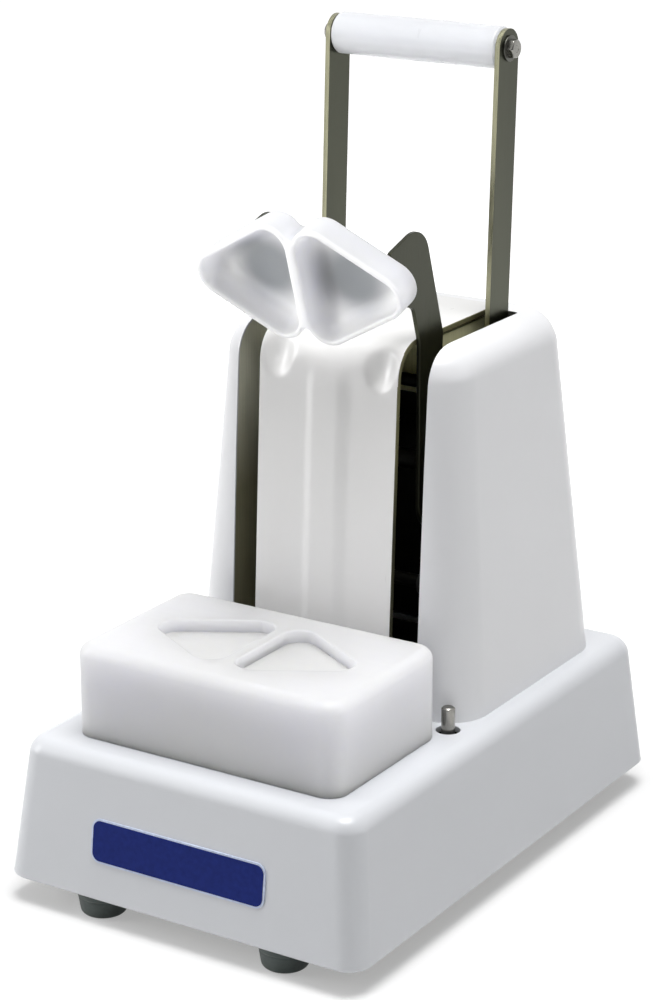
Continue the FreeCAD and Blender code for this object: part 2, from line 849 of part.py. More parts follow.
def cover_standoffs():
    inside = tower_solid(tower_wall)
    posts = []
    for x, y, z in cover_screw_places():
        post = rod_y(x, web_y + web_thickness, y + 10, z, cover_standoff_radius).common(inside)
        posts.append(post.cut(rod_y(x, web_y, y + 10, z, cover_screw_radius)))
    return Part.makeCompound(posts)


def cover_screws():
    screws = []
    for x, y, z in cover_screw_places():
        under = y + cover_screw_head_gap
        shank = rod_y(x, y - cover_screw_reach, under, z, cover_screw_radius)
        head = rod_y(x, under, under + cover_screw_head_height, z, cover_screw_head_radius)
        screws.append(shank.fuse(head).removeSplitter())
    return Part.makeCompound(screws)


# ---------------------------------------------------------------- inner frame

def frame_band(low_x, high_x, gap):
    """Upright slab whose front and top follow the tower cover at a gap inside its outer face."""
    corners = [(tower_front_bottom, deck_z, 0.0), (tower_front_bottom, tower_top_z, 0.0),
               (frame_rear_y, tower_top_z, frame_rear_corner), (frame_rear_y, deck_z, 0.0)]
    return side_plate(corners, low_x, high_x).common(tower_solid(gap))


def frame_seat():
    """Rebates beside the slots that the front and top edges of the side plates sit in."""
    seat = frame_band(slot_outer - 1, frame_outer + frame_seat_gap, frame_cover_gap - frame_seat_gap)
    return both_sides(seat)


def frame_plate(side):
    """Upright side plate with an outward foot, standing on the chassis."""
    front = tower_front_bottom + frame_cover_gap + frame_seat_gap
    plate = frame_band(frame_inner, frame_outer, frame_cover_gap)
    root = box(frame_inner, frame_outer, front, frame_rear_y, deck_under_z, deck_z + 1)
    foot = box(frame_outer, frame_outer + frame_foot_width, front + frame_foot_width, frame_rear_y - 4,
               deck_under_z, deck_under_z + frame_thickness)
    plate = plate.fuse([root, foot]).removeSplitter()
    plate = plate.cut(rod_x(0, 200, pivot_y, pivot_z, shaft_radius + running_clearance + bush_wall))
    for y, z in (rear_stop_place(), closing_stop_place()):
        plate = plate.cut(rod_x(0, 200, y, z, stop_rod_radius))
    return plate if side > 0 else mirror_x(plate)


def rear_stop_place():
    return rear_stop_y, rear_stop_z


def closing_stop_place():
    """Centre of the stop that the mold arms' front edge meets when closed."""
    angle = math.radians(closing_angle)
    dy = mold_arm_front_y - stop_sleeve_radius - stop_gap - pivot_y
    dz = closing_stop_reach
    y = pivot_y + dy * math.cos(angle) - dz * math.sin(angle)
    z = pivot_z + dy * math.sin(angle) + dz * math.cos(angle)
    return y, z


def stop_rods():
    rods = []
    for y, z in (rear_stop_place(), closing_stop_place()):
        rod = rod_x(-frame_outer - stop_rod_overhang, frame_outer + stop_rod_overhang, y, z, stop_rod_radius)
        rods.append(rod)
    return Part.makeCompound(rods)


def stop_sleeves():
    """Rubber sleeves where the arms meet the stop rods."""
    sleeves = []
    for y, z in (rear_stop_place(), closing_stop_place()):
        sleeve = rod_x(mold_arm_inner - 2, frame_inner - 0.5, y, z, stop_sleeve_radius)
        sleeve = sleeve.cut(rod_x(0, 200, y, z, stop_rod_radius))
        sleeves.extend([sleeve, mirror_x(sleeve)])
    return Part.makeCompound(sleeves)


def rear_web():
    """Cross plate behind the slots that ties the two side plates and holds the springs' rear legs."""
    top = frame_top_z - frame_rear_corner - web_setback
    web = box(-frame_inner, frame_inner, web_y, web_y + web_thickness, deck_under_z + web_foot_gap, top)
    for side in (-1, 1):
        hole = rod_y(side * spring_inner_x, web_y - 1, frame_rear_y, pivot_z + spring_coil_radius,
                     spring_wire_radius + spring_hole_gap)
        web = web.cut(hole)
    return web


def top_bridge():
    """Bent channel under the centre cover, carried by the rear web."""
    top = tower_top_z - tower_wall - bridge_top_gap
    half = slot_inner - bridge_side_gap
    front = tower_front_top + bridge_setback
    skin = bridge_thickness
    outer = box(-half, half, front, web_y, top - bridge_flange, top)
    inner = box(-half + skin, half - skin, front - 1, web_y + 1, top - bridge_flange - 1, top - skin)
    channel = outer.cut(inner)
    tail = box(-half, half, web_y - skin, web_y, top - bridge_tail, top - skin)
    return channel.fuse(tail).removeSplitter()


def pivot_bush(side):
    inner = shaft_radius + running_clearance
    outer = inner + bush_wall
    body = rod_x(frame_inner, frame_outer + bush_reach, pivot_y, pivot_z, outer)
    flange = rod_x(frame_inner - bush_flange_thickness, frame_inner, pivot_y, pivot_z, outer + bush_flange)
    bush = body.fuse(flange).removeSplitter().cut(rod_x(0, 200, pivot_y, pivot_z, inner))
    return bush if side > 0 else mirror_x(bush)


def return_spring(side):
    """Torsion spring on the pivot shaft, between the rear web and a peg on the mold arm."""
    wire_radius = spring_wire_radius
    height = spring_pitch * spring_turns
    helix = Part.makeHelix(spring_pitch, height, spring_coil_radius)
    section = Part.Wire(Part.makeCircle(wire_radius, Vector(spring_coil_radius, 0, 0), Vector(0, 1, 0)))
    coil = Part.Wire(helix.Edges).makePipeShell([section], True, True)
    front_reach = pivot_y - spring_peg_y + spring_leg_overhang
    rear_reach = web_y + web_thickness + spring_leg_overhang - pivot_y
    front_end = Vector(spring_coil_radius, 0, height)
    rear_end = Vector(spring_coil_radius, 0, 0)
    front_leg = Part.makeCylinder(wire_radius, front_reach, front_end, Vector(0, 1, 0))
    rear_leg = Part.makeCylinder(wire_radius, rear_reach, rear_end, Vector(0, -1, 0))
    spring = coil.fuse([front_leg, rear_leg])
    spring.rotate(Vector(0, 0, 0), Vector(0, 1, 0), 90)
    spring.rotate(Vector(0, 0, 0), Vector(1, 0, 0), 180)
    spring.translate(Vector(spring_inner_x, pivot_y, pivot_z))
    return spring if side > 0 else mirror_x(spring)


# ---------------------------------------------------------------- lever

def lean_point(y, z, along, across):
    """Point reached from (y, z) along the leaning mold arm and square to it, forwards."""
    angle = math.radians(open_lean)
    dy = -math.sin(angle) * along - math.cos(angle) * across
    dz = math.cos(angle) * along - math.sin(angle) * across
    return y + dy, z + dz


def head_front_across():
    """Distance from the arm's rear edge forwards to the back of the mold carrier."""
    angle = math.radians(closing_angle)
    back_z = mold_back_z + carrier_thickness
    dy = cup_y - pivot_y
    dz = back_z - pivot_z
    y = pivot_y + dy * math.cos(angle) + dz * math.sin(angle)
    z = pivot_z - dy * math.sin(angle) + dz * math.cos(angle)
    lean = math.radians(open_lean)
    rear_y = mold_arm_front_y + mold_arm_width / math.cos(lean)
    return (rear_y - y) * math.cos(lean) + (tower_top_z - z) * math.sin(lean)


def mold_arm(side):
    """Stainless strip from the hub forwards, up the slot, and leaning to the mold carrier."""
    lean = math.radians(open_lean)
    front = mold_arm_front_y
    rear_top = front + mold_arm_width / math.cos(lean)
    rear = front + mold_arm_width
    top_along = mold_arm_top_above_cover / math.cos(lean) + 2.0
    nose = head_front_across()
    corners = [(pivot_y, pivot_z - hub_radius, 0.0),
               (front, pivot_z - hub_radius, mold_arm_heel_radius),
               (front, tower_top_z, 0.0),
               (*lean_point(rear_top, tower_top_z, mold_arm_step_start, mold_arm_width), 6.0),
               (*lean_point(rear_top, tower_top_z, mold_arm_step_end, nose), 3.0),
               (*lean_point(rear_top, tower_top_z, top_along, nose), 3.0),
               (*lean_point(rear_top, tower_top_z, top_along, 0.0), mold_arm_tip_radius),
               (rear_top, tower_top_z, 0.0),
               (rear, tower_top_z - 20.0, 0.0),
               (rear, pivot_z + hub_radius, mold_arm_rear_radius),
               (pivot_y, pivot_z + hub_radius, 0.0)]
    plate = side_plate(corners, mold_arm_inner, mold_arm_outer)
    hub = rod_x(mold_arm_inner, mold_arm_outer, pivot_y, pivot_z, hub_radius)
    plate = plate.fuse(hub).removeSplitter()
    plate = plate.cut(rod_x(0, 200, pivot_y, pivot_z, shaft_radius))
    for y, z in arm_bolt_places():
        plate = plate.cut(rod_x(0, 200, y, z, arm_bolt_radius))
    return plate if side > 0 else mirror_x(plate)


def handle_arm(side):
    """Straight stainless strip from the hub up to the grip."""
    half = handle_arm_width / 2
    low = pivot_z
    low_y = handle_centre_y(low)
    lean = math.hypot(1.0, handle_slope)
    corners = [(low_y - half * lean, low, 0.0), (low_y + half * lean, low, 0.0),
               (grip_y + half * lean, grip_z, 0.0), (grip_y - half * lean, grip_z, 0.0)]
    strip = side_plate(corners, handle_arm_inner, handle_arm_outer)
    top = rod_x(handle_arm_inner, handle_arm_outer, grip_y, grip_z, half)
    hub = rod_x(handle_arm_inner, handle_arm_outer, pivot_y, pivot_z, hub_radius)
    plate = strip.fuse([top, hub]).removeSplitter()
    plate = plate.cut(rod_x(0, 200, pivot_y, pivot_z, shaft_radius))
    plate = plate.cut(rod_x(0, 200, grip_y, grip_z, grip_bolt_radius))
    for y, z in arm_bolt_places():
        plate = plate.cut(rod_x(0, 200, y, z, arm_bolt_radius))
    return plate if side > 0 else mirror_x(plate)


def arm_bolt_places():
    places = []
    for angle in spacer_angles:
        turn = math.radians(angle)
        places.append((pivot_y + spacer_circle_radius * math.cos(turn),
                       pivot_z + spacer_circle_radius * math.sin(turn)))
    return places


def arm_spacers():
    """Distance pieces between each mold arm and its handle arm."""
    spacers = []
    for y, z in arm_bolt_places():
        spacer = rod_x(mold_arm_outer, handle_arm_inner, y, z, spacer_radius)
        spacer = spacer.cut(rod_x(0, 200, y, z, arm_bolt_radius))
        spacers.extend([spacer, mirror_x(spacer)])
    return Part.makeCompound(spacers)


def arm_bolts():
    bolts = []
    for y, z in arm_bolt_places():
        shank = rod_x(mold_arm_inner - arm_bolt_overhang, handle_arm_outer, y, z, arm_bolt_radius)
        head = hex_x(handle_arm_outer, handle_arm_outer + arm_bolt_head_height, y, z, arm_bolt_flats)
        bolt = shank.fuse(head).removeSplitter()
        bolts.extend([bolt, mirror_x(bolt)])
    return Part.makeCompound(bolts)


def crank_pins():
    """Pins between the paired arms that work the ejector yokes."""
    return both_sides(rod_x(mold_arm_outer, handle_arm_inner, crank_y, pivot_z + crank_lift,
                            crank_pin_radius))


def spring_pegs():
    """Short pegs on the mold arms' inner faces that the return springs lift."""
    peg_z = pivot_z + spring_coil_radius + spring_wire_radius + spring_peg_radius
    return both_sides(rod_x(mold_arm_inner - spring_peg_length, mold_arm_inner, spring_peg_y, peg_z,
                            spring_peg_radius))


def pivot_shaft():
    end = frame_outer + shaft_overhang
    shaft = rod_x(-end, end, pivot_y, pivot_z, shaft_radius)
    return shaft.cut(retaining_rings())


def retaining_rings():
    """Snap rings that sit in grooves near the ends of the shaft."""
    start = frame_outer + ring_gap
    ring = rod_x(start, start + ring_thickness, pivot_y, pivot_z, shaft_radius + ring_wall)
    groove = rod_x(start - 1, start + ring_thickness + 1, pivot_y, pivot_z, shaft_radius - ring_groove_depth)
    return both_sides(ring.cut(groove))


def thrust_washers():
    """Nylon washers between the handle arms and the frame bushes."""
    end = frame_inner - bush_flange_thickness - washer_gap
    washer = rod_x(handle_arm_outer, end, pivot_y, pivot_z, shaft_radius + washer_wall)
    return both_sides(washer.cut(rod_x(0, 200, pivot_y, pivot_z, shaft_radius)))


def grip():
    """Solid white bar across the two handle arms."""
    bar = rod_x(-grip_half_length, grip_half_length, grip_y, grip_z, grip_radius)
    ends = []
    for edge in bar.Edges:
        if edge.BoundBox.XLength < 0.01:
            ends.append(edge)
    bar = bar.makeChamfer(grip_chamfer, ends)
    for side in (-1, 1):
        start = grip_half_length - grip_bolt_length
        hole = rod_x(start, grip_half_length + 1, grip_y, grip_z, grip_bolt_radius)
        bar = bar.cut(hole if side > 0 else mirror_x(hole))
    return bar


def grip_bolts():
    washer_end = handle_arm_outer + grip_washer_thickness
    shank = rod_x(grip_half_length - grip_bolt_length, washer_end, grip_y, grip_z, grip_bolt_radius)
    head = hex_x(washer_end, washer_end + grip_bolt_head_height, grip_y, grip_z, grip_bolt_flats)
    return both_sides(shank.fuse(head).removeSplitter())


def grip_washers():
    washer_end = handle_arm_outer + grip_washer_thickness
    washer = rod_x(handle_arm_outer, washer_end, grip_y, grip_z, grip_washer_radius)
    return both_sides(washer.cut(rod_x(0, 200, grip_y, grip_z, grip_bolt_radius)))


# ---------------------------------------------------------------- mold release

def release_pin():
    low = release_guide_top - release_pin_reach
    pin = rod_z(release_x, release_y, low, deck_z + release_pin_height, release_pin_radius)
    return pin.makeChamfer(pin_chamfer, edges_at_height(pin, deck_z + release_pin_height))


def latch_bar():
    """Flat link under the chassis between the release pin and the latch peg."""
    run = Vector(latch_peg_x - release_x, latch_peg_y - release_y, 0)
    length = run.Length
    bar = box(0, length, -latch_bar_radius, latch_bar_radius, latch_bar_under, latch_bar_top)
    bar = bar.fuse([rod_z(0, 0, latch_bar_under, latch_bar_top, latch_bar_radius),
                    rod_z(length, 0, latch_bar_under, latch_bar_top, latch_bar_radius)])
    bar = bar.removeSplitter()
    bar.rotate(Vector(0, 0, 0), Vector(0, 0, 1), math.degrees(math.atan2(run.y, run.x)))
    bar.translate(Vector(release_x, release_y, 0))
    bar = bar.cut(rod_z(release_x, release_y, latch_bar_under - 1, latch_bar_top + 1, release_pin_radius))
    return bar.cut(rod_z(latch_peg_x, latch_peg_y, latch_bar_under - 1, latch_bar_top + 1,
                         latch_peg_radius))


def latch_peg():
    top = deck_z + latch_peg_reach
    peg = rod_z(latch_peg_x, latch_peg_y, latch_bar_under, top, latch_peg_radius)
    return peg.makeChamfer(pin_chamfer, edges_at_height(peg, top))


def release_guide():
    outer = release_pin_radius + running_clearance + release_guide_wall
    guide = rod_z(release_x, release_y, floor_top_z, release_guide_top, outer)
    return guide.cut(rod_z(release_x, release_y, floor_top_z, release_guide_top + 1,
                           release_pin_radius + running_clearance))


def release_spring():
    height = latch_bar_under - release_guide_top - 2 * release_spring_wire
    radius = release_pin_radius + release_spring_gap
    helix = Part.makeHelix(height / release_spring_turns, height, radius)
    section = Part.Wire(Part.makeCircle(release_spring_wire, Vector(radius, 0, 0), Vector(0, 1, 0)))
    spring = Part.Wire(helix.Edges).makePipeShell([section], True, True)
    spring.translate(Vector(release_x, release_y, release_guide_top + release_spring_wire))
    return spring


def block_dowels():
    """Dowels that locate the mold block on the chassis."""
    top = deck_z + dowel_reach - dowel_top_gap
    dowel = rod_z(dowel_x, dowel_y, chassis_under_z, top, dowel_radius)
    return both_sides(dowel.makeChamfer(pin_chamfer, edges_at_height(dowel, top)))


# ---------------------------------------------------------------- write every node

def main():
    os.makedirs("parts", exist_ok=True)
    save("base_housing", base_housing())
    save("bottom_plate", bottom_plate())
    save("chassis_plate", chassis_plate())
    save("chassis_standoffs", chassis_standoffs())
    save("bottom_screws", bottom_screws())
    save("chassis_screws", chassis_screws())
    names = ("foot_front_left", "foot_front_right", "foot_rear_left", "foot_rear_right")
    for name, (x, y) in zip(names, foot_places()):
        save(name, rubber_foot(x, y))
    save("foot_screws", foot_screws())
    save("badge_rim", badge_plate(0.0, badge_thickness, 0.0))
    save("badge_field", badge_plate(badge_border, badge_thickness / 4, badge_thickness))

    save("lower_mold_block", lower_mold_block())
    save("block_dowels", block_dowels())
    save("upper_mold", upper_mold())
    save("mold_carrier", mold_carrier())
    save("mold_screws", mold_screws())

    save("ejector_plate_left", ejector_plate(-1))
    save("ejector_plate_right", ejector_plate(1))
    save("ejector_posts", ejector_posts())
    save("guide_bushes", guide_bushes())
    save("lift_frame", lift_frame())
    save("yoke_left", yoke(-1))
    save("yoke_right", yoke(1))
    save("lift_screws", lift_screws())

    save("tower_cover", tower_cover())
    save("centre_cover", centre_cover())
    save("cover_standoffs", cover_standoffs())
    save("cover_screws", cover_screws())
    save("frame_plate_left", frame_plate(-1))
    save("frame_plate_right", frame_plate(1))
    save("rear_web", rear_web())
    save("top_bridge", top_bridge())
    save("stop_rods", stop_rods())
    save("stop_sleeves", stop_sleeves())
    save("pivot_bush_left", pivot_bush(-1))
    save("pivot_bush_right", pivot_bush(1))
    save("return_spring_left", return_spring(-1))
    save("return_spring_right", return_spring(1))

    save("mold_arm_left", mold_arm(-1))
    save("mold_arm_right", mold_arm(1))
    save("handle_arm_left", handle_arm(-1))
    save("handle_arm_right", handle_arm(1))
    save("arm_spacers", arm_spacers())
    save("arm_bolts", arm_bolts())
    save("crank_pins", crank_pins())
    save("spring_pegs", spring_pegs())
    save("pivot_shaft", pivot_shaft())
    save("retaining_rings", retaining_rings())
    save("thrust_washers", thrust_washers())
    save("grip", grip())
    save("grip_bolts", grip_bolts())
    save("grip_washers", grip_washers())

    save("release_pin", release_pin())
    save("latch_bar", latch_bar())
    save("latch_peg", latch_peg())
    save("release_guide", release_guide())
    save("release_spring", release_spring())


main()
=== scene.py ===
"""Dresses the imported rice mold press: smooth mouldings, brushed steel strips and a plain studio."""
import json
import math

import bmesh
import bpy
import numpy as np
from mathutils import Matrix, Vector


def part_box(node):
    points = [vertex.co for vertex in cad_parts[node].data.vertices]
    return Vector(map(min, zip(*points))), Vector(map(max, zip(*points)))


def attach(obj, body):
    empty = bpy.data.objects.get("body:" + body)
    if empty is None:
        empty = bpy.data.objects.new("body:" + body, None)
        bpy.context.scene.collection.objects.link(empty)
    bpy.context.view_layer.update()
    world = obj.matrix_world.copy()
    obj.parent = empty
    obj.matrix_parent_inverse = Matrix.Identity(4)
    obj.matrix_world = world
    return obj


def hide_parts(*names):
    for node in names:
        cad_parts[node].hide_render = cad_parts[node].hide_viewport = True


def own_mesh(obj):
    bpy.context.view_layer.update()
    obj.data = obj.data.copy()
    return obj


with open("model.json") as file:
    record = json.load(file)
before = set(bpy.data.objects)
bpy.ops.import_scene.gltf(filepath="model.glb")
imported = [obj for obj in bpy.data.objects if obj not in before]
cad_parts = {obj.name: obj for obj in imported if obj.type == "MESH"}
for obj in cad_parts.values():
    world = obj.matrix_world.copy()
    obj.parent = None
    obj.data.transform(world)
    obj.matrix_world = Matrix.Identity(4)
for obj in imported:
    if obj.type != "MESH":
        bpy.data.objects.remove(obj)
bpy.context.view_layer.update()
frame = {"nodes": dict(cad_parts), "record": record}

bl_info = {
    "name": "Rice Mold Press",
    "version": (1, 0, 0),
    "blender": (4, 5, 0),
    "location": "3D View > Sidebar > Press",
    "description": "Builds the visible pieces of a tabletop rice mold press round packed solids",
    "category": "Add Mesh",
}

MM = 0.001
CORNER_STEPS = 12
ROUND_STEPS = 10


def node_box(name):
    """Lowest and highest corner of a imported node, in millimetres."""
    low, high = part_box(name)
    return low / MM, high / MM


# ---- settings


def size_setting(name, description, default, least=0.0):
    """Setting for a size, given in millimetres."""
    return bpy.props.FloatProperty(name=name, description=description, default=default * MM,
                                   min=least * MM, unit="LENGTH")


def colour_setting(name, description, default):
    """Setting for a colour."""
    return bpy.props.FloatVectorProperty(name=name, description=description, default=default,
                                         subtype="COLOR", min=0, max=1)


class PressSizes(bpy.types.PropertyGroup):
    """Sizes of the mouldings that a user may want to change."""

    deck_edge_round: size_setting(
        "Deck edge round", "Radius along the top edge of the base", 10, 1)
    tower_edge_round: size_setting(
        "Tower edge round", "Radius along the top edge of the tower", 21, 2)
    rib_height: size_setting(
        "Centre rib height", "How far the rib stands out of the centre cover", 2.1)
    scoop_softness: size_setting(
        "Scoop softness", "How far the edges of the two scoops are blended", 2.2)
    rim_round: size_setting(
        "Block cup rim", "Radius round the mouth of the lower cups", 1.2, 0.2)
    plate_break: size_setting(
        "Plate edge break", "Width of the broken edge on the steel strips", 0.3, 0.05)


class PressColours(bpy.types.PropertyGroup):
    """Finishes that a user may want to repaint."""

    housing: colour_setting("Base housing", "Colour of the base moulding", (0.69, 0.705, 0.735))
    tower: colour_setting("Tower cover", "Colour of the outer tower cover", (0.845, 0.85, 0.868))
    centre: colour_setting("Centre cover", "Colour of the proud centre cover", (0.925, 0.92, 0.908))
    mold: colour_setting("Molds", "Colour of the milky molds", (0.86, 0.86, 0.895))
    grip: colour_setting("Grip", "Colour of the grip bar", (0.87, 0.885, 0.92))
    steel: colour_setting("Steel strips", "Colour of the brushed strips", (0.063, 0.066, 0.046))
    rubber: colour_setting("Feet", "Colour of the rubber feet", (0.055, 0.07, 0.065))
    badge: colour_setting("Badge", "Colour of the blank badge", (0.014, 0.026, 0.17))


# ---- mesh helpers


def given(thing, **values):
    """Set a thing's properties and hand it back."""
    for key, value in values.items():
        setattr(thing, key, value)
    return thing


def new_object(mesh, name=None):
    """Link a mesh as an object at the origin, under the mesh's name or its own."""
    piece = bpy.data.objects.new(name or mesh.name, mesh)
    bpy.context.scene.collection.objects.link(piece)
    return piece


def mesh_from(name, points, faces):
    """Mesh from points in millimetres."""
    mesh = bpy.data.meshes.new(name)
    mesh.from_pydata([tuple(c * MM for c in p) for p in points], [], faces)
    mesh.update()
    return mesh


def rework(mesh, distance, finish):
    """Merge points closer than a distance in millimetres, then finish the mesh with a function."""
    work = bmesh.new()
    work.from_mesh(mesh)
    bmesh.ops.remove_doubles(work, verts=work.verts, dist=distance * MM)
    finish(work)
    work.to_mesh(mesh)
    work.free()
    mesh.update()
    return mesh


def outward(mesh):
    """Merge doubles and turn every face outwards."""
    return rework(mesh, 0.002, lambda work: bmesh.ops.recalc_face_normals(work, faces=work.faces))


def clean(piece):
    """Merge points that meet, and drop faces without area."""
    rework(piece.data, 0.004, lambda work: bmesh.ops.dissolve_degenerate(
        work, edges=work.edges, dist=0.002 * MM))


def copy_of(node, name):
    """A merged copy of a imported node's mesh, with its flat faces whole again."""
    mesh = given(frame["nodes"][node].data.copy(), name=name)
    mesh.materials.clear()
    return new_object(rework(mesh, 0.001, lambda work: bmesh.ops.dissolve_limit(
        work, angle_limit=math.radians(0.6), verts=work.verts, edges=work.edges)))


def quarter(steps):
    """(cosine, sine) of even steps through a right angle."""
    angles = [math.radians(90 * step / steps) for step in range(steps + 1)]
    return [(math.cos(angle), math.sin(angle)) for angle in angles]


def shrunk(sides, inset):
    """An (x0, x1, y0, y1) rectangle pulled in on all sides."""
    return sides[0] + inset, sides[1] - inset, sides[2] + inset, sides[3] - inset


def ring(x0, x1, y0, y1, radius, heights, steps=CORNER_STEPS):
    """Rounded rectangle of points; heights are for the +X, rear, -X and front sides."""
    if not isinstance(heights, (tuple, list)):
        heights = (heights,) * 4
    centres = [(x1 - radius, y1 - radius), (x0 + radius, y1 - radius),
               (x0 + radius, y0 + radius), (x1 - radius, y0 + radius)]
    points = []
    for corner, (cx, cy) in enumerate(centres):
        z_a, z_b = heights[corner], heights[(corner + 1) % 4]
        for step in range(steps + 1):
            turn = step / steps
            angle = math.radians(90 * (corner + turn))
            blend = math.sin(math.radians(90 * turn)) ** 2
            points.append((cx + radius * math.cos(angle), cy + radius * math.sin(angle),
                           z_a * (1 - blend) + z_b * blend))
    return points


def loft(name, rings):
    """Closed solid through rings of equal length, from the bottom up."""
    points = [p for r in rings for p in r]
    count = len(rings[0])
    faces = []
    for level in range(len(rings) - 1):
        for i in range(count):
            a = level * count + i
            b = level * count + (i + 1) % count
            faces.append((a, b, b + count, a + count))
    faces.append(tuple(reversed(range(count))))
    faces.append(tuple(range((len(rings) - 1) * count, len(rings) * count)))
    return outward(mesh_from(name, points, faces))


def side_profile(low, high, z0, z1, radius, steps=ROUND_STEPS):
    """(reach, z) of a drafted wall that rolls into a flat top, from its tangent upwards."""
    lean = math.atan2(low - high, z1 - z0)
    centre = high - radius * (1 - math.sin(lean)) / math.cos(lean)
    angles = [lean + (math.pi / 2 - lean) * step / steps for step in range(steps + 1)]
    return [(centre + radius * math.cos(angle), z1 - radius + radius * math.sin(angle))
            for angle in angles]


def drafted_box(name, low, high, z0, z1, corner, edge_round, inset=0.0, foot_round=0.0):
    """Tapered rounded box between two (x0, x1, y0, y1) rectangles; inset pulls in sides and top."""
    low, high, z1 = shrunk(low, inset), shrunk(high, inset), z1 - inset
    corner, edge_round = corner - inset, edge_round - inset
    rings = []
    if foot_round:
        for cosine, sine in quarter(5)[:-1]:
            pull = foot_round * (1 - sine)
            rings.append(ring(*shrunk(low, pull), corner - pull, z0 + foot_round * (1 - cosine)))
    for share in (0.0, 0.25, 0.5, 0.75):
        z = z0 + foot_round + (z1 - edge_round - z0 - foot_round) * share
        rise = (z - z0) / (z1 - z0)
        rings.append(ring(*(a + (b - a) * rise for a, b in zip(low, high)), corner, z))
    profiles = [side_profile(sign * low[side], sign * high[side], z0, z1, edge_round)
                for side, sign in ((1, 1), (3, 1), (0, -1), (2, -1))]
    for right, rear, left, front in zip(*profiles):
        pull = max(0.0, high[1] - right[0])
        rings.append(ring(-left[0], right[0], -front[0], rear[0], max(corner - pull, 0.5),
                          (right[1], rear[1], left[1], front[1])))
    return loft(name, rings)


def bar(name, x0, x1, y0, y1, z0, z1, radius=1.0):
    """Upright bar with rounded corners, used as a cutter."""
    return loft(name, [ring(x0, x1, y0, y1, radius, z, 6) for z in (z0, z1)])


def lathe(name, profile, steps=48, across_flats=None):
    """Solid of revolution about Z from (radius, z) points; ends that meet the axis are closed.

    With a width across_flats, whatever is wider than a hexagon of that width is cut down to it.
    """
    points, faces, rows = [], [], []
    for radius, z in profile:
        count = steps if radius > 0 else 1
        rows.append([len(points) + step % count for step in range(steps)])
        for step in range(count):
            angle = 2 * math.pi * step / steps
            reach = radius
            if across_flats:
                off_flat = (angle + math.pi / 6) % (math.pi / 3) - math.pi / 6
                reach = min(radius, across_flats / 2 / math.cos(off_flat))
            points.append((reach * math.cos(angle), reach * math.sin(angle), z))
    for low, high in zip(rows, rows[1:]):
        for a in range(steps):
            b = (a + 1) % steps
            face = tuple(dict.fromkeys((low[a], low[b], high[b], high[a])))
            if len(face) > 2:
                faces.append(face)
    return outward(mesh_from(name, points, faces))


def soft_profile(corners, steps=5):
    """(a, b) outline through (a, b, radius) corners; the first and last stay sharp."""
    found = [corners[0][:2]]
    for before, here, after in zip(corners, corners[1:], corners[2:]):
        radius = here[2]
        point = Vector(here[:2])
        if radius <= 0:
            found.append(tuple(point))
            continue
        back = (Vector(before[:2]) - point).normalized()
        ahead = (Vector(after[:2]) - point).normalized()
        half = math.acos(max(-1.0, min(1.0, back.dot(ahead)))) / 2
        reach = radius / math.tan(half)
        centre = point + (back + ahead).normalized() * (radius / math.sin(half))
        start = point + back * reach - centre
        end = point + ahead * reach - centre
        sweep = start.angle_signed(end)
        for step in range(steps + 1):
            turn = -sweep * step / steps
            found.append((centre.x + start.x * math.cos(turn) - start.y * math.sin(turn),
                          centre.y + start.x * math.sin(turn) + start.y * math.cos(turn)))
    found.append(corners[-1][:2])
    return found


def evaluated(piece):
    """Replace an object's mesh by what its modifiers make of it."""
    bpy.context.view_layer.update()
    graph = bpy.context.evaluated_depsgraph_get()
    made = bpy.data.meshes.new_from_object(piece.evaluated_get(graph), depsgraph=graph)
    piece.modifiers.clear()
    old = piece.data
    piece.data = made
    bpy.data.meshes.remove(old)


def modified(piece, kind, **values):
    """Put a piece's mesh through one modifier."""
    given(piece.modifiers.new("change", kind), **values)
    evaluated(piece)


def combine(piece, meshes, operation="DIFFERENCE"):
    """Cut or join helper meshes with a piece."""
    helpers = [new_object(mesh) for mesh in meshes]
    for helper in helpers:
        given(piece.modifiers.new("combine", "BOOLEAN"), operation=operation, solver="EXACT",
              object=helper)
    evaluated(piece)
    for helper, mesh in zip(helpers, meshes):
        bpy.data.objects.remove(helper)
        bpy.data.meshes.remove(mesh)


def smooth(piece, angle=35.0):
    """Shade smoothly, keeping flat faces flat."""
    piece.data.shade_smooth()
    piece.data.set_sharp_from_angle(angle=math.radians(angle))
    modified(piece, "WEIGHTED_NORMAL", keep_sharp=True, weight=80)


def soften(piece, width, angle, segments=3):
    """Round the edges that are sharper than an angle, and shade the rest smoothly."""
    clean(piece)
    if width > 0:
        modified(piece, "BEVEL", width=width * MM, segments=segments, limit_method="ANGLE",
                 angle_limit=math.radians(angle))
        clean(piece)
    smooth(piece)


def place(piece, matrix):
    """Move a piece's mesh, not its object."""
    piece.data.transform(matrix)
    piece.data.update()


def upright_at(node):
    """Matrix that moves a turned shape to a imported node's own upright axis."""
    low, high = node_box(node)
    return Matrix.Translation(Vector(((low.x + high.x) / 2, (low.y + high.y) / 2, 0)) * MM)


def dress(piece, finish, body, slot, *nodes):
    """Give a finished piece its finish and its body, and hide the nodes it stands for; slot is not
    used.
    """
    piece.data.materials.clear()
    piece.data.materials.append(finishes[finish])
    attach(piece, body)
    if nodes:
        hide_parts(*nodes)


def repaint(piece, finish, wanted):
    """One more finish, for the faces that a test picks."""
    piece.data.materials.append(finishes[finish])
    for face in piece.data.polygons:
        if wanted(face):
            face.material_index = len(piece.data.materials) - 1


def light_with(card, piece):
    """Let a card's light fall on a piece; it falls on nothing else."""
    bpy.data.collections[card].objects.link(piece)


# ---- material helpers


